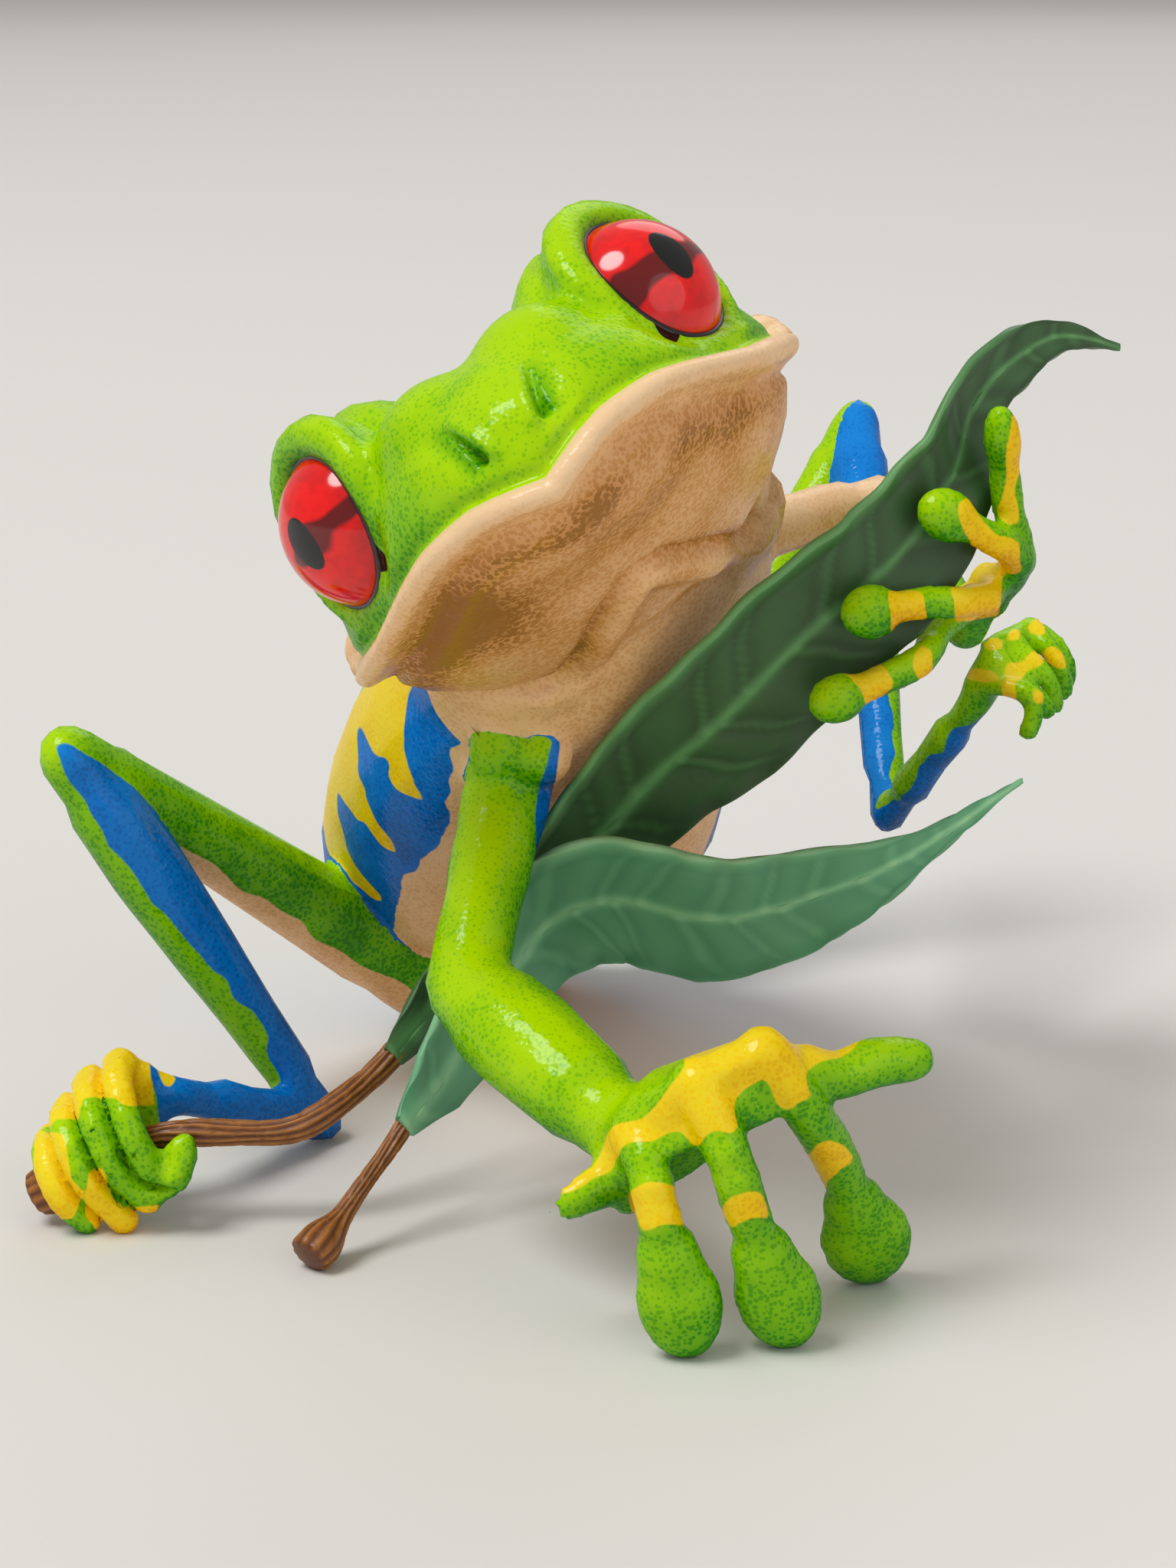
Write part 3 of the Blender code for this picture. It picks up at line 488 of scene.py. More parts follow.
def carveFace(bm):
    bm.normal_update()
    spots = np.array([v.co for v in bm.verts])
    normals = np.array([v.normal for v in bm.verts])
    left, ahead, up = headPlaces(spots)
    move = np.zeros(len(spots))
    # nostrils: a slit that opens sideways, with a raised rim towards the middle of the snout
    front = (ahead > 6.5) & (np.hypot(left, ahead) < 13)
    flat = np.stack([left, up], axis=1)
    for sign in (-1, 1):
        top = (np.array(face["nostril top"]) * (sign, 1, 1))[[0, 2]]
        bottom = (np.array(face["nostril bottom"]) * (sign, 1, 1))[[0, 2]]
        away, share = fromSegment(flat, top, bottom)
        depth = face["nostril depth"] * (0.25 + 0.75 * share)
        move -= np.where(front, depth * swell(away, 0.13 + 0.13 * share), 0)
        rim, share = fromSegment(flat + (0.42 * sign, 0), top, bottom)
        move += np.where(front, 0.24 * swell(rim, 0.34) * (0.4 + 0.6 * share), 0)
        hollow, _ = fromSegment(flat + (-0.6 * sign, 0), top, bottom)
        move -= np.where(front, 0.22 * swell(hollow, 0.6), 0)
    # lips: a round roll over a groove, and a fainter groove above
    fade = np.clip((ahead + 6.5) / 1.5, 0, 1) * (np.hypot(left, ahead) < 13.5)
    below = up - lipHeight(left, ahead)
    move += face["lip roll"] * swell(below, 0.5) * fade
    move -= face["groove depth"] * swell(below + 0.95, 0.33) * fade
    move -= 0.25 * swell(below - 0.85, 0.28) * fade
    # brows: a crease behind the roll that holds the eye, and a hump behind that
    for sign in (-1, 1):
        middle, _, _, outward = (np.array(v) for v in eyeAxes(sign))
        away = spots - middle
        level = away @ outward
        wide = np.linalg.norm(away - np.outer(level, outward), axis=1)
        crease = np.hypot(wide - 4.75, level + 0.25)
        move -= face["brow crease"] * swell(crease, 0.55) * np.clip((up - 2) / 2, 0, 1)
        hump = np.array(inHead(sign * 4.4, -3.4, 7.4))
        move += 0.45 * swell(np.linalg.norm(spots - hump, axis=1), 2.0)
    # the collar
    collar = fromCollar(spots)
    move += 0.55 * swell(collar - 0.95, 0.8) - 0.5 * swell(collar + 0.15, 0.4)
    for vert, spot in zip(bm.verts, spots + normals * move[:, None], strict=True):
        vert.co = spot


toes = {
    "middle": (-21.4, -7.6, 3.8),
    "crease depth": 0.5,
    "crease width": 0.26,
    "swelling": 0.16,
}
# Toes of the gripping foot, as on the CAD, from their roots to their tips
grippingToes = (
    ((-20.8, -5.4, 6.7), (-20.7, -7.2, 6.6), (-20.2, -8.6, 5.4), (-19.7, -8.8, 4.2), (-19.3, -8.7, 3.2)),
    ((-22.1, -5.4, 5.9), (-22.0, -7.2, 5.9), (-21.4, -8.6, 4.9), (-20.7, -8.8, 3.2), (-19.4, -8.3, 1.6)),
    ((-23.1, -5.6, 4.6), (-23.1, -7.2, 4.7), (-22.6, -8.5, 3.9), (-21.9, -8.8, 2.4), (-20.5, -8.2, 0.6)),
    ((-23.8, -6.0, 3.4), (-23.9, -7.3, 3.4), (-23.5, -8.3, 2.6), (-23.0, -8.6, 1.7), (-22.1, -8.2, 0.6)),
)


# Toes pressed side by side meet in deep creases, and each is round between them
def carveToes(bm):
    bm.normal_update()
    spots = np.array([v.co for v in bm.verts])
    normals = np.array([v.normal for v in bm.verts])
    near = np.nonzero(np.linalg.norm(spots - toes["middle"], axis=1) < 5)[0]
    gaps = []
    for points in grippingToes:
        line = curveThrough(points, 8)
        gaps.append(np.linalg.norm(spots[near][:, None] - line[None], axis=2).min(1))
    gaps = np.sort(np.array(gaps), axis=0)
    between = gaps[1] - gaps[0]
    lower = 1 - np.clip((gaps[0] - 1.3) / 0.5, 0, 1)
    move = toes["swelling"] * np.clip(between / 0.9, 0, 1) ** 0.5
    move -= toes["crease depth"] * swell(between, toes["crease width"])
    for index, step in zip(near, move * lower, strict=True):
        bm.verts[index].co += Vector(normals[index]) * step


skinPiece = makeSkin()
print("skin remeshed:", len(skinPiece.data.vertices), "points")


# Markings of the skin, as distances in mm from the edge of each colour, positive inside it


# Number in the list of flesh of the CAD solid nearest to each spot
def nearestNodes(spots):
    corners, faces, owners = [], [], []
    for name in flesh:
        bm = cadCopy([name])
        first = len(corners)
        corners += [v.co.copy() for v in bm.verts]
        for flat in bm.faces:
            faces.append([first + v.index for v in flat.verts])
            owners.append(flesh.index(name))
        bm.free()
    tree = BVHTree.FromPolygons(corners, faces)
    return np.array([owners[tree.find_nearest(Vector(s))[2]] for s in spots])


def unit(rows):
    rows = np.asarray(rows, float)
    return rows / np.linalg.norm(rows, axis=-1, keepdims=True)


# Share of the length, radius, and angle in degrees from the given direction round a limb
def roundLimb(spots, start, end, towards):
    start, end = np.array(start, float), np.array(end, float)
    along = unit(end - start)
    away = spots - start
    share = away @ along / np.linalg.norm(end - start)
    radial = away - np.outer(away @ along, along)
    towards = np.array(towards, float)
    towards = unit(towards - (towards @ along) * along)
    radius = np.linalg.norm(radial, axis=1) + 1e-6
    angle = np.degrees(np.arccos(np.clip(radial @ towards / radius, -1, 1)))
    return share, radius, angle


# Signed distance to a closed outline, positive inside it
def insideOutline(across, height, corners):
    corners = np.array(corners, float)
    ends = np.roll(corners, -1, axis=0)
    spots = np.stack([across, height], axis=1)
    inside = np.zeros(len(spots), bool)
    nearest = np.full(len(spots), 1e9)
    for a, b in zip(corners, ends, strict=True):
        crosses = (a[1] > height) != (b[1] > height)
        level = (height - a[1]) / (b[1] - a[1] + 1e-12)
        inside ^= crosses & (across < a[0] + level * (b[0] - a[0]))
        share = np.clip((spots - a) @ (b - a) / ((b - a) @ (b - a)), 0, 1)
        nearest = np.minimum(nearest, np.linalg.norm(spots - a - share[:, None] * (b - a), axis=1))
    return np.where(inside, nearest, -nearest)


# Where the viewer sees each spot, in pixels of the picture, and how many mm a pixel spans there
def seen(spots):
    tilt = math.radians(view["tilt"])
    ahead = np.array((0, math.sin(tilt), -math.cos(tilt)))
    up = np.array((0, math.cos(tilt), math.sin(tilt)))
    away = spots - np.array(view["place"])
    span = away @ ahead * 36 / view["lens"] / 2048
    return 768 + away[:, 0] / span, 1024 - away @ up / span, span


# Distance in mm from the edge of the outlines of one colour on a CAD solid, positive inside them
def traced(spots, name, colour):
    tracing = tracings[name]
    across, down, span = seen(spots)
    onSheet = [
        (places - corner) * tracing["enlarged"]
        for places, corner in zip((across, down), tracing["corner"], strict=True)
    ]
    nearest = np.full(len(spots), -1e9)
    for outline in tracing[colour]:
        nearest = np.maximum(nearest, insideOutline(*onSheet, outline))
    return nearest * span / tracing["enlarged"]


trunk = {
    "middle": (
        (-3.2, 25.6, 3.1),
        (-3.3, 21.0, 7.3),
        (-3.3, 15.8, 12.2),
        (-1.9, 9.6, 19.0),
        (0.0, 5.2, 24.2),
        (0.2, 1.0, 28.4),
        tuple(inHead(0, -9.3, 0)),
        tuple(inHead(0, -7.3, 0)),
    ),
    "rolls": (10, 13, 18, 28, 37, 40),  # degrees that the back leans to the viewer's left
    "lean": 46,
    # (place along the trunk, degrees from the back) where the flank meets the pale belly
    "belly": (
        (0, 125),
        (11.6, 120),
        (16.8, 117),
        (18.9, 115),
        (19.7, 118),
        (20.8, 117),
        (22.3, 119),
        (23.8, 118),
        (24.3, 117),
        (25.0, 113),
        (25.6, 113),
        (26.2, 109.5),
        (27.0, 109),
        (27.8, 105),
        (28.7, 102.5),
        (30.7, 103.5),
        (31.9, 93),
        (33.1, 89),
        (37, 84),
    ),
    # the same, round the yellow and its three pointed bars
    "yellow": (
        (38, 60),
        (38, 77),
        (33, 80),
        (29.3, 82),
        (27.5, 88),
        (26.6, 92),
        (25.8, 96),
        (25.3, 101),
        (24.9, 104),
        (24.4, 110),
        (24.1, 105),
        (23.9, 101),
        (24.1, 96),
        (24.8, 94),
        (24.3, 91),
        (24.2, 87),
        (23.9, 78),
        (22.9, 88),
        (22.6, 93),
        (22.0, 97),
        (21.6, 101),
        (21.3, 104),
        (20.8, 109),
        (20.2, 111),
        (20.0, 106),
        (20.4, 103),
        (20.8, 99),
        (20.2, 96),
        (20.3, 92),
        (19.6, 84),
        (18.7, 91),
        (18.3, 95),
        (17.7, 97),
        (17.4, 100),
        (17.0, 103),
        (16.5, 108),
        (16.2, 112),
        (15.7, 114),
        (15.3, 110),
        (15.5, 107),
        (15.2, 103),
        (15.6, 101),
        (15.2, 99),
        (15.4, 97),
        (14.9, 92),
        (14.6, 84),
        (13.6, 60),
    ),
    "green edge": 64,
}


# Distance along the trunk, degrees round it from the back, and radius
def trunkPlaces(spots):
    lean = math.radians(trunk["lean"])
    plain = Vector((0, math.sin(lean), math.cos(lean)))
    backs = []
    for roll in trunk["rolls"]:
        roll = math.radians(roll)
        backs.append(math.cos(roll) * plain + math.sin(roll) * Vector((-1, 0, 0)))
    backs += [headUp, headUp]
    rows = [[*a, *b] for a, b in zip(trunk["middle"], backs, strict=True)]
    both = curveThrough(rows, 12)
    middle, back = both[:, :3], both[:, 3:]
    along = unit(np.gradient(middle, axis=0))
    back = unit(back - (back * along).sum(1)[:, None] * along)
    side = np.cross(along, back)
    lengths = np.concatenate([[0], np.cumsum(np.linalg.norm(np.diff(middle, axis=0), axis=1))])
    nearest = np.empty(len(spots), int)
    for first in range(0, len(spots), 4000):
        chunk = spots[first : first + 4000]
        nearest[first : first + 4000] = np.argmin(
            ((chunk[:, None] - middle[None]) ** 2).sum(2), axis=1
        )
    away = spots - middle[nearest]
    ahead = (away * along[nearest]).sum(1)
    away -= ahead[:, None] * along[nearest]
    angle = np.degrees(
        np.arctan2((away * side[nearest]).sum(1), (away * back[nearest]).sum(1))
    )
    return lengths[nearest] + ahead, angle, np.linalg.norm(away, axis=1)


# Outlines of colours drawn over enlargements of the picture: for each CAD solid the pixel at the
# corner of its enlargement, how much that was enlarged, and the outlines on it, x to the right and y down
tracings = {
    "hand_right": {
        "corner": (700, 1270),
        "enlarged": 1.786,
        "yellow": (
            (
                (-130, 560), (-130, 582), (0, 545), (60, 522), (110, 506), (150, 480), (180, 466),
                (190, 436),
                (202, 414), (225, 400), (250, 400), (275, 405), (290, 385), (310, 372), (330, 370),
                (345, 380),
                (352, 400), (375, 412), (390, 405), (405, 375), (425, 372), (455, 380), (470, 370),
                (475, 350),
                (465, 325), (470, 300), (490, 275), (510, 265), (530, 252), (545, 275), (555, 310),
                (580, 330),
                (600, 335), (612, 305), (650, 305), (652, 295), (635, 260), (632, 235), (660, 210),
                (710, 205),
                (740, 185), (765, 160), (800, 146), (800, 0), (360, 0), (345, 222), (310, 268),
                (275, 315),
                (240, 345), (200, 346), (175, 358), (160, 390), (140, 440), (110, 470), (60, 498),
                (0, 515),
            ),
            (
                (205, 512), (250, 487), (290, 482), (335, 497), (350, 592), (300, 588), (265, 605),
                (253, 630),
                (235, 580),
            ),
            (
                (425, 548), (460, 520), (500, 512), (528, 518), (548, 578), (510, 573), (478, 588),
                (462, 612),
            ),
            (
                (625, 436), (655, 398), (690, 392), (725, 404), (762, 447), (712, 455), (682, 488),
                (668, 535),
                (645, 500),
            ),
        ),
    },
    "foot_right": {
        "corner": (20, 940),
        "enlarged": 1.316,
        "yellow": (
            (
                (30, 705), (66, 702), (72, 690), (110, 690), (112, 665), (118, 650), (172, 652),
                (180, 660),
                (186, 663), (243, 667), (240, 640), (232, 610), (228, 588), (245, 600), (256, 632),
                (268, 632),
                (280, 610), (295, 607), (312, 618), (332, 622), (345, 560), (250, 480), (30, 480),
            ),
            ((30, 700), (82, 712), (92, 740), (98, 790), (118, 812), (100, 860), (30, 860)),
            (
                (125, 775), (150, 768), (158, 790), (175, 826), (205, 836), (250, 832), (235, 890),
                (150, 890),
                (118, 850),
            ),
        ),
        "blue": (
            ((226, 586), (330, 540), (440, 540), (440, 780), (300, 705), (247, 705), (243, 667), (232, 610)),
        ),
    },
    "hand_left": {
        "corner": (1000, 380),
        "enlarged": 1.282,
        "yellow": (
            (
                (412, 200), (440, 200), (440, 270), (416, 330), (428, 392), (405, 394), (386, 372),
                (398, 345),
                (402, 300), (400, 270), (408, 235),
            ),
            (
                (338, 345), (365, 385), (385, 405), (427, 418), (428, 470), (410, 478), (385, 464),
                (345, 444),
                (340, 420), (325, 385), (320, 358),
            ),
            ((203, 500), (262, 500), (272, 552), (212, 578), (208, 545)),
            ((306, 478), (330, 476), (340, 440), (400, 455), (392, 545), (315, 556), (312, 520)),
            ((128, 640), (195, 620), (216, 660), (170, 702), (162, 668)),
            ((248, 600), (262, 588), (282, 598), (278, 642), (258, 655), (244, 628)),
        ),
    },
    "foot_left": {
        "corner": (1000, 380),
        "enlarged": 1.282,
        "yellow": (
            ((336, 650), (345, 630), (385, 636), (394, 654), (374, 658)),
            ((393, 650), (418, 652), (424, 695), (396, 695)),
            ((446, 662), (466, 676), (462, 699), (443, 694)),
            ((360, 600), (375, 578), (400, 584), (396, 602), (375, 604)),
            ((398, 622), (425, 616), (440, 640), (425, 658), (402, 650)),
            ((398, 580), (412, 562), (432, 566), (428, 587), (405, 590)),
            ((428, 612), (450, 598), (470, 622), (452, 642)),
            ((433, 568), (448, 548), (468, 556), (468, 582), (440, 577)),
            ((456, 604), (480, 590), (500, 606), (506, 644), (488, 634), (468, 620)),
        ),
    },
    "shank_right": {
        "corner": (20, 940),
        "enlarged": 1.316,
        "blue": (
            (
                (62, 42), (88, 36), (125, 60), (300, 160), (620, 600), (620, 760), (470, 640),
                (430, 572),
                (434, 545), (410, 503), (375, 482), (362, 443), (340, 433), (300, 390), (262, 337),
                (235, 320),
                (205, 266), (160, 217), (148, 190), (130, 168), (112, 128), (90, 104),
            ),
        ),
    },
    "thigh_right": {
        "corner": (20, 940),
        "enlarged": 1.316,
        "tan": (
            (
                (128, 82), (150, 115), (185, 126), (240, 160), (262, 195), (300, 225), (345, 250),
                (385, 292),
                (430, 305), (470, 335), (490, 345), (515, 377), (560, 397), (600, 425), (650, 440),
                (690, 470),
                (640, 620), (400, 460), (200, 300), (110, 160),
            ),
        ),
    },
    "upper_arm_right": {
        "corner": (380, 820),
        "enlarged": 1.923,
        "blue": (
            (
                (674, 240), (650, 300), (625, 400), (612, 480), (608, 640), (590, 700), (574, 745),
                (578, 800),
                (640, 810), (760, 810), (760, 240),
            ),
        ),
        "tan": (((686, 240), (670, 330), (660, 450), (663, 560), (672, 600), (760, 600), (760, 240)),),
    },
}  # fmt: skip
limbs = {
    "thigh_left": ((1.6, 25.6, 4.8), (14.9, 37.0, 29.2)),
    "shank_left": ((14.9, 37.0, 29.2), (15.2, 16.8, 12.0)),
    "tarsus_left": ((15.2, 16.8, 12.0), (18.6, 9.2, 20.0)),
}


# Distance in mm inside the angle round a limb
def edge(angle, limit, radius):
    return np.radians(limit - angle) * radius


def markings(spots):
    owner = nearestNodes(spots)
    count = len(spots)
    tan, blue, yellow = (np.full(count, -3.0) for _ in range(3))
    ragged = np.full(count, 0.35)
    height = spots @ np.array((0, 0.259, 0.966))

    def of(name):
        return owner == flesh.index(name)

    # head: pale throat and lips, green crown
    at = of("head")
    left, ahead, up = headPlaces(spots[at])
    tan[at] = lipHeight(left, ahead) + 0.62 - up
    for sign in (-1, 1):
        curl = np.array(inHead(sign * face["corner curl"][0], *face["corner curl"][1:]))
        tan[at] = np.maximum(tan[at], 1.15 - np.linalg.norm(spots[at] - curl, axis=1))
        for spot in curveThrough([inHead(sign * p[0], *p[1:]) for p in face["hook"]], 5):
            tan[at] = np.maximum(tan[at], 0.95 - np.linalg.norm(spots[at] - spot, axis=1))
    ragged[at] = 0.03

    # trunk: green back, yellow edge and bars on blue flanks, pale belly
    at = of("torso")
    place, angle, radius = trunkPlaces(spots[at])
    angle = np.abs(angle)
    belly = np.interp(place, *zip(*trunk["belly"], strict=True))
    tan[at] = np.radians(angle - belly) * radius
    blue[at] = np.radians(angle - trunk["green edge"]) * radius
    degree = math.radians(1) * 9.7  # in mm round the flank
    corners = [(s, turn * degree) for s, turn in trunk["yellow"]]
    bars = insideOutline(place, angle * degree, corners)
    yellow[at] = np.minimum(bars, np.radians(angle - trunk["green edge"]) * radius)
    ragged[at] = np.where(angle < 74, 0.35, 0.07)

    blue[of("tarsus_right")] = 3.0
    fields = {"blue": blue, "tan": tan, "yellow": yellow}
    for name, tracing in tracings.items():
        at = of(name)
        for colour in fields.keys() & tracing.keys():
            fields[colour][at] = traced(spots[at], name, colour)
        ragged[at] = 0.08

    at = of("thigh_left")
    share, radius, angle = roundLimb(spots[at], *limbs["thigh_left"], (1, 0, 0.1))
    blue[at] = edge(angle, 72, radius)

    at = of("shank_left")
    share, radius, angle = roundLimb(spots[at], *limbs["shank_left"], (1, 0.5, 0.3))
    blue[at] = np.minimum(-edge(angle, 70, radius), (share + 0.03) * 20)
    blue[at] = np.where(share < 0.35, np.maximum(blue[at], (share + 0.02) * 20), blue[at])

    at = of("tarsus_left")
    share, radius, angle = roundLimb(spots[at], *limbs["tarsus_left"], (-0.85, 0.2, 0.4))
    limit = np.interp(share, (0, 0.1, 0.3, 0.6, 0.85, 1.0), (5, 50, 75, 75, 95, 180))
    blue[at] = -edge(angle, limit, radius)

    tan[of("upper_arm_left")] = 3.0

    # the throat and the chest under it are pale all over
    left, ahead, up = headPlaces(spots)
    throat = np.minimum(ahead + 9.5, lipHeight(left, ahead) - up - 0.6)
    throat = np.where((of("head") | of("torso")) & (height > 24.5), throat, -9)
    tan = np.where(throat > 0, np.maximum(tan, 3), tan)
    blue = np.where(throat > 0, -3, blue)
    yellow = np.where(throat > 0, -3, yellow)
    return tan, blue, yellow, ragged


spots = coordinates(skinPiece.data)
facing = normalsOf(skinPiece.data)
tan, blue, yellow, ragged = markings(spots)
average = averager(skinPiece.data)


# Evens out the steps that are left where one solid gives way to the next
def eased(values, rounds):
    for _ in range(rounds):
        values = 0.5 * values + 0.5 * average(values)
    return values


plainStretch = np.ones(len(spots), bool)
for name, values in (("tan", tan), ("blue", blue), ("yellow", yellow), ("ragged", ragged)):
    values = eased(np.clip(values, -1.2, 1.2), 3)
    setAttribute(skinPiece.data, name, values)
    if name != "ragged":
        plainStretch &= np.abs(values) > 0.5


# Painted shade: darker where the skin faces away from light from above, the front and the left, so deeper
# underneath, and darker under the lip, on the throat below the right eye, in the nostrils and along the
# collar; lighter along the lip
def paintedShadeOf(spots, facing):
    dark = 0.53 - 0.52 * facing @ unit((-0.35, -0.5, 0.8))
    left, ahead, up = headPlaces(spots)
    onHead = np.hypot(left, ahead) < 12.5
    below = up - lipHeight(left, ahead)
    dark += onHead * np.where(below < -0.6, 0.5 * swell(below + 1.2, 0.9), 0)
    dark -= 0.35 * onHead * swell(below + 0.1, 0.5)
    dark += 0.45 * onHead * swell(np.linalg.norm(spots - np.array(inHead(-6.5, 3, -3)), axis=1), 3.2)
    flat = np.stack([left, up], axis=1)
    for sign in (-1, 1):
        top = (np.array(face["nostril top"]) * (sign, 1, 1))[[0, 2]]
        bottom = (np.array(face["nostril bottom"]) * (sign, 1, 1))[[0, 2]]
        away, share = fromSegment(flat + (-0.25 * sign, 0), top, bottom)
        dark += 0.6 * (ahead > 6.5) * onHead * swell(away, 0.32) * (0.3 + 0.7 * share)
    dark += 0.4 * swell(fromCollar(spots) + 0.3, 0.5)
    return dark


# The painted shade, smoothed, is stored as the shade attribute of the skin
setAttribute(skinPiece.data, "shade", eased(paintedShadeOf(spots, facing), 8))

lid = {
    "corner": -40,  # degrees round the eye from the side of the nose, where the lids end in a point
    "tube": (0.13, 0.26),  # thin round the eye, thicker near the corner
    "point": 1.5,
}


# Angle from the axis of the eye at which the skin leaves the eye, all the way round
def lidLine(tree, sign, count=96):
    middle, front, rise, outward = eyeAxes(sign)
    angles = []
    for i in range(count):
        around = 2 * math.pi * i / count
        across = math.cos(around) * front + math.sin(around) * rise
        found = 1.45
        for step in range(90):
            angle = math.radians(45 + 0.5 * step)
            spot = middle + eye["radius"] * (math.cos(angle) * outward + math.sin(angle) * across)
            near, normal, _, _ = tree.find_nearest(spot)
            if (spot - near).dot(normal) < 0:
                found = angle
                break
        angles.append(found)
    padded = np.array(angles[-4:] + angles + angles[:4])
    return np.convolve(padded, np.ones(9) / 9, mode="valid")


# How far an angle round the eye lies from the corner of the lids, in radians
def fromCorner(around):
    return np.abs((around - math.radians(lid["corner"]) + math.pi) % (2 * math.pi) - math.pi)


skinTree = BVHTree.FromPolygons(
    [Vector(spot) for spot in spots], [tuple(face.vertices) for face in skinPiece.data.polygons]
)
lidLines = {sign: lidLine(skinTree, sign) for sign in (-1, 1)}
black = np.full(len(spots), -1.0)
for sign, line in lidLines.items():
    middle, front, rise, outward = (np.array(v) for v in eyeAxes(sign))
    away = spots - middle
    far = np.linalg.norm(away, axis=1)
    around = np.arctan2(away @ rise, away @ front)
    angle = np.arccos(np.clip(away @ outward / far, -1, 1))
    share = (around / (2 * math.pi)) % 1 * len(line)
    contact = np.interp(share, np.arange(len(line) + 1), np.append(line, line[0]))
    wide = 0.06 + lid["point"] * np.clip(1 - fromCorner(around) / 0.26, 0, 1) ** 1.3
    gap = np.hypot((angle - contact) * eye["radius"], far - eye["radius"])
    black = np.maximum(black, np.where(far < 5, wide - gap, -1))
setAttribute(skinPiece.data, "black", black)
print("markings laid out")

# Thins out the faces far from any edge of a colour, but not on the face, the hands and the feet
left, ahead, up = headPlaces(spots)
plainStretch &= (np.hypot(left, ahead) > 13.5) | (ahead < -7) | (up > 6.5)
for name in ("hand_right", "hand_left", "foot_right", "foot_left"):
    low, high = (np.array(toFrame.inverted() @ corner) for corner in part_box(name))
    plainStretch &= ~((spots > low - 0.5) & (spots < high + 0.5)).all(1)
plain = skinPiece.vertex_groups.new(name="plain")
plain.add([int(i) for i in np.nonzero(plainStretch)[0]], 1.0, "REPLACE")
skinPiece.data.calc_loop_triangles()
thin = skinPiece.modifiers.new("Decimate", "DECIMATE")
thin.ratio = min(1, skin["triangles"] / len(skinPiece.data.loop_triangles))
thin.vertex_group = "plain"
applyModifiers(skinPiece)
skinPiece.data.calc_loop_triangles()
print("skin thinned to", len(skinPiece.data.loop_triangles), "triangles")


# Materials


# Colours from lit to shaded
palette = {
    "green": ((0.0, "#B4E400"), (0.26, "#84C800"), (0.55, "#389400"), (0.9, "#0A5A00")),
    "blue": ((0.0, "#148CE8"), (0.35, "#0070CC"), (0.7, "#00508F"), (1.0, "#00335F")),
    "tan": ((0.0, "#FCD6A8"), (0.42, "#F2C08A"), (0.85, "#D0904E"), (1.0, "#A26C2E")),
    "yellow": ((0.0, "#FFE62A"), (0.35, "#FFD200"), (0.7, "#E6A600"), (1.0, "#B07800")),
}


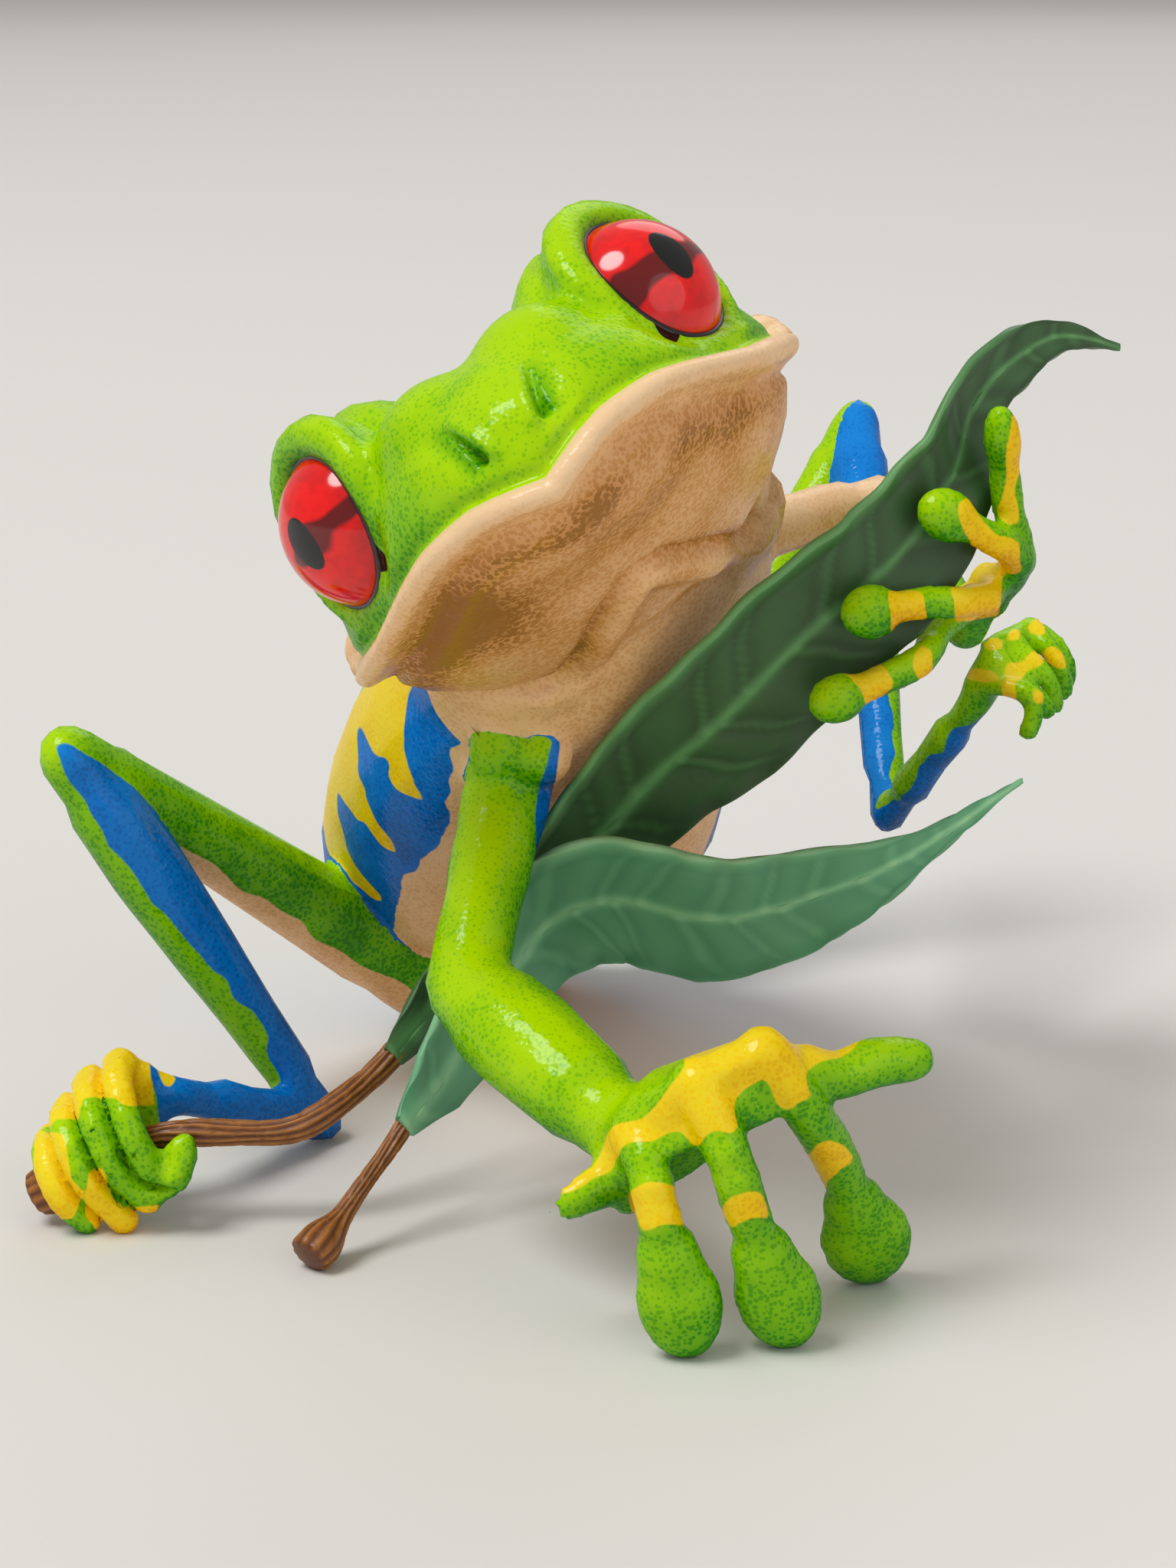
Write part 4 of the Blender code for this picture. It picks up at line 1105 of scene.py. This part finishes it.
def addSkinMaterial():
    # Amphibian skin, moist and finely granular: a broken gloss over speckled pigment
    material, tree, shader = newMaterial(
        "moist_frog_skin", Roughness=0.36, Specular_IOR_Level=0.0, Coat_Weight=0.4, Coat_Roughness=0.12
    )
    place = addNode(tree, "ShaderNodeTexCoord").outputs["Object"]
    fields = {}
    for name in ("tan", "blue", "yellow", "ragged", "shade"):
        fields[name] = addNode(tree, "ShaderNodeAttribute", attribute_name=name).outputs["Fac"]

    # Pigment spots about 0.3 mm across, larger than life so that they show, closer together in the shade
    patches = addNode(tree, "ShaderNodeTexNoise", {"Vector": place, "Scale": 330, "Detail": 4})
    bend = addNode(tree, "ShaderNodeTexNoise", {"Vector": place, "Scale": 5000})
    bent = addNode(
        tree,
        "ShaderNodeVectorMath",
        {0: bend.outputs["Color"], 1: (0.00006, 0.00006, 0.00006), 2: place},
        operation="MULTIPLY_ADD",
    )
    cells = addNode(tree, "ShaderNodeTexVoronoi", {"Vector": bent.outputs[0], "Scale": 4600})
    chance = addNode(tree, "ShaderNodeSeparateColor", {"Color": cells.outputs["Color"]})
    # Spots grow larger where the painted shade is deeper
    size = addNode(
        tree, "ShaderNodeMath", {0: fields["shade"], 1: 0.24, 2: 0.02}, operation="MULTIPLY_ADD"
    )
    size = addNode(
        tree,
        "ShaderNodeMath",
        {0: patches.outputs["Fac"], 1: 0.4, 2: size.outputs[0]},
        operation="MULTIPLY_ADD",
    )
    size = addNode(
        tree,
        "ShaderNodeMath",
        {0: chance.outputs["Red"], 1: 0.2, 2: size.outputs[0]},
        operation="MULTIPLY_ADD",
    )
    within = addNode(
        tree, "ShaderNodeMath", {0: size.outputs[0], 1: cells.outputs["Distance"]}, operation="SUBTRACT"
    )
    spotted = addNode(
        tree,
        "ShaderNodeMapRange",
        {"Value": within.outputs[0], "From Min": -0.05, "From Max": 0.07, "To Max": 0.17},
    )
    tone = addNode(
        tree,
        "ShaderNodeMath",
        {0: patches.outputs["Fac"], 1: 0.5, 2: spotted.outputs[0]},
        operation="MULTIPLY_ADD",
    )
    # Painted shade: the shade attribute moves each colour along its ramp from lit to shaded, over the spots
    # and patches
    depth = addNode(
        tree, "ShaderNodeMath", {0: fields["shade"], 1: 0.8, 2: tone.outputs[0]}, operation="MULTIPLY_ADD"
    )
    depth = addNode(
        tree, "ShaderNodeMath", {0: depth.outputs[0], 1: 0.27}, operation="SUBTRACT", use_clamp=True
    ).outputs[0]

    # Edges of the colours, which wander by the ragged share of a millimetre
    wave = addNode(tree, "ShaderNodeTexNoise", {"Vector": place, "Scale": 520, "Detail": 1})
    centred = addNode(
        tree, "ShaderNodeMath", {0: wave.outputs["Fac"], 1: 4, 2: -2}, operation="MULTIPLY_ADD"
    )
    colour = None
    for name, stops in palette.items():
        ramp = setRamp(addNode(tree, "ShaderNodeValToRGB", {"Fac": depth}), stops)
        if colour is None:
            colour = ramp.outputs["Color"]
            continue
        edge = addNode(
            tree,
            "ShaderNodeMath",
            {0: centred.outputs[0], 1: fields["ragged"], 2: fields[name]},
            operation="MULTIPLY_ADD",
        )
        inside = addNode(
            tree, "ShaderNodeMapRange", {"Value": edge.outputs[0], "From Min": 0, "From Max": 0.07}
        )
        colour = addNode(
            tree,
            "ShaderNodeMixRGB",
            {"Fac": inside.outputs[0], "Color1": colour, "Color2": ramp.outputs["Color"]},
        ).outputs["Color"]
    lidEdge = addNode(tree, "ShaderNodeAttribute", attribute_name="black").outputs["Fac"]
    black = addNode(
        tree, "ShaderNodeMapRange", {"Value": lidEdge, "From Min": -0.05, "From Max": 0.05}
    )
    colour = addNode(
        tree,
        "ShaderNodeMixRGB",
        {"Fac": black.outputs[0], "Color1": colour, "Color2": hexColour("#070A05")},
    ).outputs["Color"]
    tree.links.new(colour, shader.inputs["Base Color"])

    # Grains of the skin, 0.2 mm, which break up the gloss
    grain = addNode(tree, "ShaderNodeTexVoronoi", {"Vector": place, "Scale": 4200})
    fine = addNode(tree, "ShaderNodeTexNoise", {"Vector": place, "Scale": 1500, "Detail": 3})
    relief = addNode(
        tree,
        "ShaderNodeMath",
        {0: grain.outputs["Distance"], 1: 0.5, 2: fine.outputs["Fac"]},
        operation="MULTIPLY_ADD",
    )
    bumps = addNode(
        tree, "ShaderNodeBump", {"Height": relief.outputs[0], "Strength": 0.55, "Distance": 0.00006}
    )
    tree.links.new(bumps.outputs["Normal"], shader.inputs["Normal"])
    tree.links.new(bumps.outputs["Normal"], shader.inputs["Coat Normal"])
    return material


skinMaterial = addSkinMaterial()
skinPiece.data.transform(toFrame)
skinPiece.data.materials.clear()
skinPiece.data.materials.append(skinMaterial)
skinPiece.data.shade_smooth()
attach(skinPiece, "root")
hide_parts(*flesh)
print("skin done")

# Eyes


def addEyeMaterial():
    # Living eye: a clear wet cornea over a red iris and a black pupil, with a painted reflection, a darker
    # band with wavy edges across its middle
    material, tree, shader = newMaterial(
        "wet_cornea_over_red_iris", Specular_IOR_Level=0.0, Coat_Weight=1.0, Coat_Roughness=0.11, Coat_IOR=1.6
    )
    place = addNode(tree, "ShaderNodeTexCoord").outputs["Object"]
    reflection_wobble = addNode(tree, "ShaderNodeTexNoise", {"Vector": place, "Scale": 420, "Detail": 1.5})
    painted_reflection_band = addNode(tree, "ShaderNodeAttribute", attribute_name="painted_reflection_band").outputs["Fac"]
    wavy = addNode(
        tree, "ShaderNodeMath", {0: reflection_wobble.outputs["Fac"], 1: 2.2, 2: painted_reflection_band}, operation="MULTIPLY_ADD"
    ).outputs[0]
    # Painted reflection: the iris turns a deeper red inside the wavy band
    dark = addNode(tree, "ShaderNodeMapRange", {"Value": wavy, "From Min": 1.15, "From Max": 1.35})
    fleck = addNode(tree, "ShaderNodeTexNoise", {"Vector": place, "Scale": 1500, "Detail": 3})
    bright = setRamp(
        addNode(tree, "ShaderNodeValToRGB", {"Fac": fleck.outputs["Fac"]}),
        ((0.3, "#E00000"), (0.6, "#FF0400")),
    )
    deep = setRamp(
        addNode(tree, "ShaderNodeValToRGB", {"Fac": wavy}), ((0.6, "#B80000"), (1.0, "#700000"))
    )
    iris = addNode(
        tree,
        "ShaderNodeMixRGB",
        {"Fac": dark.outputs[0], "Color1": bright.outputs["Color"], "Color2": deep.outputs["Color"]},
    )
    pupil = addNode(tree, "ShaderNodeAttribute", attribute_name="pupil").outputs["Fac"]
    black = addNode(
        tree, "ShaderNodeMapRange", {"Value": pupil, "From Min": -0.02, "From Max": 0.02}
    )
    colour = addNode(
        tree,
        "ShaderNodeMixRGB",
        {"Fac": black.outputs[0], "Color1": iris.outputs["Color"], "Color2": hexColour("#020101")},
    )
    tree.links.new(colour.outputs["Color"], shader.inputs["Base Color"])
    return material


def addLidMaterial():
    # Thin moist membrane at the edge of the lids, black and shiny
    material, tree, shader = newMaterial("moist_black_lid_edge", Roughness=0.3, Coat_Weight=0.3)
    place = addNode(tree, "ShaderNodeTexCoord").outputs["Object"]
    mottle = addNode(tree, "ShaderNodeTexNoise", {"Vector": place, "Scale": 1800, "Detail": 2})
    tone = setRamp(
        addNode(tree, "ShaderNodeValToRGB", {"Fac": mottle.outputs["Fac"]}),
        ((0.35, "#040503"), (0.8, "#10160B")),
    )
    tree.links.new(tone.outputs["Color"], shader.inputs["Base Color"])
    return material


eyeMaterial = addEyeMaterial()
lidMaterial = addLidMaterial()


def makeEye(sign, name):
    middle = inHead(sign * eye["middle"][0], *eye["middle"][1:])
    bm = bmesh.new()
    bmesh.ops.create_uvsphere(bm, u_segments=64, v_segments=48, radius=eye["radius"])
    facing = direction(sign, eye["splay"], eye["lift"])
    turn = facing.to_track_quat("Z", "Y").to_matrix().to_4x4()
    bmesh.ops.transform(bm, matrix=turn, verts=bm.verts)
    spots = np.array([v.co for v in bm.verts])
    gaze = np.array(direction(sign, eye["gaze splay"], eye["gaze lift"]))
    upwards = unit(np.array(headUp) - (np.array(headUp) @ gaze) * gaze)
    across = np.cross(upwards, gaze)
    wide, tall = eye["pupil"]
    oval = np.hypot(spots @ across / wide, spots @ upwards / tall)
    pupil = np.where(spots @ gaze > 0, (1 - oval) * wide, -3)
    nose = -sign * (spots @ across)
    # Painted reflection: a band across the middle of the eye, weaker on the side away from the nose
    painted_reflection_band = 0.62 - np.abs(spots @ upwards + 0.15) - 0.25 * np.clip(-nose - 0.8, 0, 2)
    bmesh.ops.translate(bm, vec=middle, verts=bm.verts)
    made = makeObject(name, bm, eyeMaterial)
    setAttribute(made.data, "pupil", pupil)
    setAttribute(made.data, "painted_reflection_band", painted_reflection_band)
    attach(made, "root")
    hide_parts(name.replace("_ball", ""))


def makeLidEdge(sign, name):
    bm = ringOf(1.0, 0.5, len(lidLines[sign]))
    middle, front, rise, outward = eyeAxes(sign)
    line = np.append(lidLines[sign], lidLines[sign][0])
    for vert in bm.verts:
        around = math.atan2(vert.co.y, vert.co.x)
        share = (around / (2 * math.pi)) % 1 * len(lidLines[sign])
        angle = np.interp(share, np.arange(len(line)), line)
        across = math.cos(around) * front + math.sin(around) * rise
        core = middle + (eye["radius"] + 0.02) * (math.cos(angle) * outward + math.sin(angle) * across)
        near = math.exp(-((float(fromCorner(around)) / 0.8) ** 2))
        tube = lid["tube"][0] + (lid["tube"][1] - lid["tube"][0]) * near
        aside = math.hypot(vert.co.x, vert.co.y) - 1.0
        vert.co = core + 2 * tube * (aside * across + vert.co.z * outward)
    made = makeObject(name, bm, lidMaterial)
    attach(made, "root")


for sign, side in ((-1, "right"), (1, "left")):
    makeEye(sign, f"eye_{side}_ball")
    makeLidEdge(sign, f"lid_edge_{side}")
print("eyes done")

# Leaves

leaves = {
    "leaf_large_blade": {
        "midrib": (
            (-8.9, -4.1, 6.7),
            (-6.7, -1.7, 8.7),
            (-4.5, -0.3, 10.8),
            (-1.3, 0.0, 13.9),
            (3.0, -1.75, 19.2),
            (5.6, -2.9, 21.8),
            (9.4, -3.4, 25.9),
            (13.1, -2.6, 29.0),
            (15.7, -1.2, 32.5),
            (16.7, 0.2, 35.3),
            (18.8, 2.0, 37.2),
            (21.1, 4.0, 37.9),
            (24.1, 6.4, 37.1),
        ),
        "widths": (0.5, 1.5, 1.9, 2.2, 2.9, 3.6, 3.6, 3.1, 2.4, 1.65, 1.25, 0.7, 0.06),
        "across": (0.55, 0.2, -0.8),
        "wave": 0.35,
        "curl": 0.9,  # how far the upper edge turns towards the viewer
        "vein spacing": 3.6,
        "slot": "dark_leaf",
        "tones": ("#1F3A1C", "#35532E", "#4E7F49", "#6FA968"),
    },
    "leaf_small_blade": {
        "midrib": (
            (-8.2, -8.2, 4.9),
            (-6.4, -5.6, 6.7),
            (-4.3, -3.9, 9.5),
            (-2.0, -2.2, 12.2),
            (1.3, -3.5, 13.9),
            (6.0, -6.9, 14.1),
            (11.2, -8.9, 16.3),
            (14.3, -9.7, 18.2),
            (18.1, -10.7, 21.3),
        ),
        "widths": (0.5, 1.7, 2.1, 2.3, 2.7, 2.9, 2.8, 2.2, 1.2, 0.5, 0.05),
        "across": (0.15, -0.1, -1.0),
        "wave": 0.25,
        "curl": 0.35,
        "vein spacing": 2.9,
        "slot": "pale_leaf",
        "tones": ("#3A7350", "#5A9C72", "#7ABC8C", "#A4DAA6"),
    },
}


def addLeafMaterial(name, tones):
    # Leathery leaf: waxy upper skin over a net of fine veins, paler along the veins and the margin, with
    # painted highlights on the curled upper edge and on the raised pleats between the veins
    material, tree, shader = newMaterial(
        name, Roughness=0.45, IOR=1.42, Coat_Weight=0.12, Coat_Roughness=0.35
    )
    place = addNode(tree, "ShaderNodeTexCoord").outputs["Object"]
    veins_and_painted_rim_highlight = addNode(tree, "ShaderNodeAttribute", attribute_name="veins_and_painted_rim_highlight").outputs["Fac"]
    pleat = addNode(tree, "ShaderNodeAttribute", attribute_name="pleat").outputs["Fac"]
    net = addNode(
        tree, "ShaderNodeTexVoronoi", {"Vector": place, "Scale": 1400}, feature="DISTANCE_TO_EDGE"
    )
    patch = addNode(tree, "ShaderNodeTexNoise", {"Vector": place, "Scale": 260, "Detail": 4})
    # Painted highlight on the raised pleats, with patches that differ at random
    light = addNode(
        tree, "ShaderNodeMath", {0: patch.outputs["Fac"], 1: 0.2, 2: pleat}, operation="MULTIPLY_ADD"
    )
    share = addNode(
        tree, "ShaderNodeMath", {0: veins_and_painted_rim_highlight, 1: 0.5, 2: light.outputs[0]}, operation="MULTIPLY_ADD"
    )
    tone = setRamp(
        addNode(tree, "ShaderNodeValToRGB", {"Fac": share.outputs[0]}),
        tuple(zip((0.0, 0.3, 0.62, 1.0), tones, strict=True)),
    )
    tree.links.new(tone.outputs["Color"], shader.inputs["Base Color"])
    bumps = addNode(
        tree, "ShaderNodeBump", {"Height": net.outputs["Distance"], "Strength": 0.35, "Distance": 0.00004}
    )
    tree.links.new(bumps.outputs["Normal"], shader.inputs["Normal"])
    return material


def makeLeaf(name, leaf):
    rows, columns = 220, 61
    line = curveThrough(leaf["midrib"], 20)
    lengths = np.concatenate([[0], np.cumsum(np.linalg.norm(np.diff(line, axis=0), axis=1))])
    steps = np.linspace(0, len(line) - 1, len(line))
    ahead = unit(np.gradient(line, axis=0))
    across = np.array(leaf["across"]) / np.linalg.norm(leaf["across"])
    side = unit(across - (ahead @ across)[:, None] * ahead)
    out = np.cross(side, ahead)
    bm = bmesh.new()
    bmesh.ops.create_grid(bm, x_segments=rows, y_segments=columns - 1, size=1)
    flat = np.array([v.co for v in bm.verts])
    share = (flat[:, 0] + 1) / 2
    s = flat[:, 1]
    step = share * (len(line) - 1)

    def along(table):
        return np.stack([np.interp(step, steps, table[:, k]) for k in range(3)], axis=1)

    widths = np.interp(share, np.linspace(0, 1, len(leaf["widths"])), leaf["widths"])
    run = np.interp(step, steps, lengths)
    offset = s * widths
    # side veins leave the midrib at about 50 degrees and bend towards the tip
    reach = np.abs(offset)
    root = run - 0.45 * reach - 0.16 * reach**2 + np.where(s > 0, leaf["vein spacing"] / 2, 0)
    phase = root / leaf["vein spacing"] + 0.16 * np.sin(0.8 * root) + 0.03 * np.sin(4 * reach)
    fromVein = np.abs(phase - np.round(phase)) * leaf["vein spacing"] * 0.75
    fade = np.clip((0.97 - np.abs(s)) / 0.3, 0, 1)
    sideVein = swell(fromVein, 0.16 + 0.06 * fade) * fade
    midWidth = np.interp(share, (0, 0.3, 1), (0.5, 0.32, 0.1))
    midVein = swell(offset, midWidth)
    pillow = np.sin(np.clip(fromVein / (leaf["vein spacing"] * 0.375), 0, 1) * math.pi / 2)
    broad = np.clip(widths / 2.2, 0, 1)
    ripple = leaf["wave"] * np.sin(share * 21 + 2 * s) * s * s * broad + 0.35 * np.abs(s) * broad
    frill = 0.16 * np.sin(run * 2.1 + 3 * s) * np.clip((np.abs(s) - 0.6) / 0.4, 0, 1) ** 2 * broad
    curled = np.clip((-s - 0.72) / 0.28, 0, 1) ** 1.5 * np.sin(math.pi * np.clip(share * 1.1, 0, 1))
    height = ripple + frill + leaf["curl"] * curled * widths / 4.4
    height += 0.3 * midVein * np.interp(share, (0, 0.5, 1), (1, 0.6, 0.1)) + 0.11 * sideVein * broad
    height += 0.16 * pillow * (1 - midVein) * fade * broad
    spots = along(line) + along(side) * offset[:, None] + along(out) * height[:, None]
    for vert, spot in zip(bm.verts, spots, strict=True):
        vert.co = spot
    material = addLeafMaterial(f"waxy_{leaf['slot']}", leaf["tones"])
    made = makeObject(name + "_skin", bm, material)
    # Painted highlight: the curled upper edge much paler, as if lit; the margin a little paler all round
    rim = 1.6 * curled + 0.3 * np.clip((np.abs(s) - 0.93) / 0.07, 0, 1)
    setAttribute(made.data, "veins_and_painted_rim_highlight", np.clip(0.5 * sideVein + 0.9 * midVein + rim, 0, 1.7))
    # Painted highlight on the pleats, palest midway between the veins
    setAttribute(made.data, "pleat", 0.12 + 0.18 * pillow * fade)
    wall = made.modifiers.new("Solidify", "SOLIDIFY")
    wall.thickness = 0.36 * mm
    wall.offset = 0
    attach(made, "root")
    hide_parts(name)


for name, leaf in leaves.items():
    makeLeaf(name, leaf)
print("leaves done")

# Stems

stems = {
    "leaf_large_stem": (
        (-7.5, -2.6, 7.9),
        (-9.9, -4.9, 5.8),
        (-12.5, -6.7, 4.4),
        (-15.5, -7.0, 4.1),
        (-18.9, -7.0, 4.1),
        (-21.5, -7.0, 2.8),
        (-24.4, -7.0, 1.3),
    ),
    "leaf_small_stem": ((-7.2, -6.8, 6.0), (-9.1, -9.2, 3.6), (-10.6, -11.0, 1.9), (-11.9, -12.6, 0.8)),
}
bark = {"ridges": 11, "relief": 0.06, "knot relief": 0.06}


def addBarkMaterial():
    # Young bark: long fibres, darker in the grooves between them and paler on the ridges, a little shiny
    material, tree, shader = newMaterial("smooth_young_bark", Roughness=0.45, Coat_Weight=0.1)
    place = addNode(tree, "ShaderNodeTexCoord").outputs["Object"]
    groove = addNode(tree, "ShaderNodeAttribute", attribute_name="groove").outputs["Fac"]
    fibre = addNode(tree, "ShaderNodeTexNoise", {"Vector": place, "Scale": 1300, "Detail": 4})
    level = addNode(
        tree, "ShaderNodeMath", {0: fibre.outputs["Fac"], 1: 0.45, 2: groove}, operation="MULTIPLY_ADD"
    )
    tone = setRamp(
        addNode(tree, "ShaderNodeValToRGB", {"Fac": level.outputs[0]}),
        ((0.1, "#3E1F08"), (0.42, "#6E3A10"), (0.72, "#A0621F"), (1.0, "#C98A48")),
    )
    tree.links.new(tone.outputs["Color"], shader.inputs["Base Color"])
    bumps = addNode(
        tree, "ShaderNodeBump", {"Height": fibre.outputs["Fac"], "Strength": 0.4, "Distance": 0.00008}
    )
    tree.links.new(bumps.outputs["Normal"], shader.inputs["Normal"])
    return material


barkMaterial = addBarkMaterial()


def makeStem(name, route):
    made = makeObject(name + "_bark", cadCopy([name]), place=Matrix.Identity(4))
    rounder = made.modifiers.new("Subdivision", "SUBSURF")
    rounder.levels = 2
    rounder.render_levels = 2
    applyModifiers(made)
    bm = bmesh.new()
    bm.from_mesh(made.data)
    bm.normal_update()
    line = curveThrough(route, 20)
    lengths = np.concatenate([[0], np.cumsum(np.linalg.norm(np.diff(line, axis=0), axis=1))])
    ahead = unit(np.gradient(line, axis=0))
    spots = np.array([v.co for v in bm.verts])
    normals = np.array([v.normal for v in bm.verts])
    nearest = np.argmin(np.linalg.norm(spots[:, None] - line[None], axis=2), axis=1)
    run = lengths[nearest]
    away = spots - line[nearest]
    raised = unit(np.array((0, 0.3, 0.95)) - (ahead[nearest] @ (0, 0.3, 0.95))[:, None] * ahead[nearest])
    sideways = np.cross(ahead[nearest], raised)
    around = np.arctan2((away * raised).sum(1), (away * sideways).sum(1))
    twist = around * bark["ridges"] + 1.4 * np.sin(run * 0.45) + 0.8 * np.sin(run * 1.3 + 2 * around)
    ridge = 0.5 + 0.5 * np.sin(twist)
    knots = np.sin(run * 1.15 + np.sin(around)) * bark["knot relief"]
    ends = swell(run - lengths[-1] + 0.9, 0.8) * 0.22
    onSide = 1 - np.abs((normals * ahead[nearest]).sum(1)) ** 2
    move = (bark["relief"] * (ridge - 0.6) * 2 + knots + ends) * onSide
    for vert, spot in zip(bm.verts, spots + normals * move[:, None], strict=True):
        vert.co = spot
        vert.co.z = max(vert.co.z, 0)
    bm.to_mesh(made.data)
    bm.free()
    made.data.transform(toFrame)
    made.data.materials.clear()
    made.data.materials.append(barkMaterial)
    made.data.shade_smooth()
    setAttribute(made.data, "groove", 0.12 + 0.5 * ridge * onSide)
    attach(made, "root")
    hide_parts(name)


for name, route in stems.items():
    makeStem(name, route)
print("stems done")

# Floor and light

floorBm = bmesh.new()
bmesh.ops.create_grid(floorBm, x_segments=1, y_segments=1, size=6)
floorMaterial, _, floorShader = newMaterial("pale_matt_board", Roughness=0.8)
floorShader.inputs["Base Color"].default_value = hexColour("#E9E6E1")
floor = makeObject("floor", floorBm, floorMaterial, Matrix.Identity(4))

world = bpy.data.worlds.new("studio")
world.use_nodes = True
world.node_tree.nodes["Background"].inputs["Color"].default_value = hexColour("#F2F1EF")
world.node_tree.nodes["Background"].inputs["Strength"].default_value = 0.45
bpy.context.scene.world = world

lamps = {
    "key": {"place": (-0.7, -0.34, 1.42), "size": 0.75, "power": 13.5},
    "fill": {"place": (1.3, -1.3, 0.7), "size": 1.9, "power": 6.0},
    "back": {"place": (0.3, 1.5, 1.2), "size": 1.2, "power": 4.0},
}
for name, lamp in lamps.items():
    light = bpy.data.lights.new(name, "AREA")
    light.shape = "DISK"
    light.size = lamp["size"]
    light.energy = lamp["power"]
    made = bpy.data.objects.new(name, light)
    made.location = lamp["place"]
    aim = Vector((0, 0, 0.02)) - Vector(lamp["place"])
    made.rotation_euler = aim.to_track_quat("-Z", "Y").to_euler()
    bpy.context.scene.collection.objects.link(made)

bpy.context.scene.view_settings.view_transform = "Standard"
print("floor and light done")
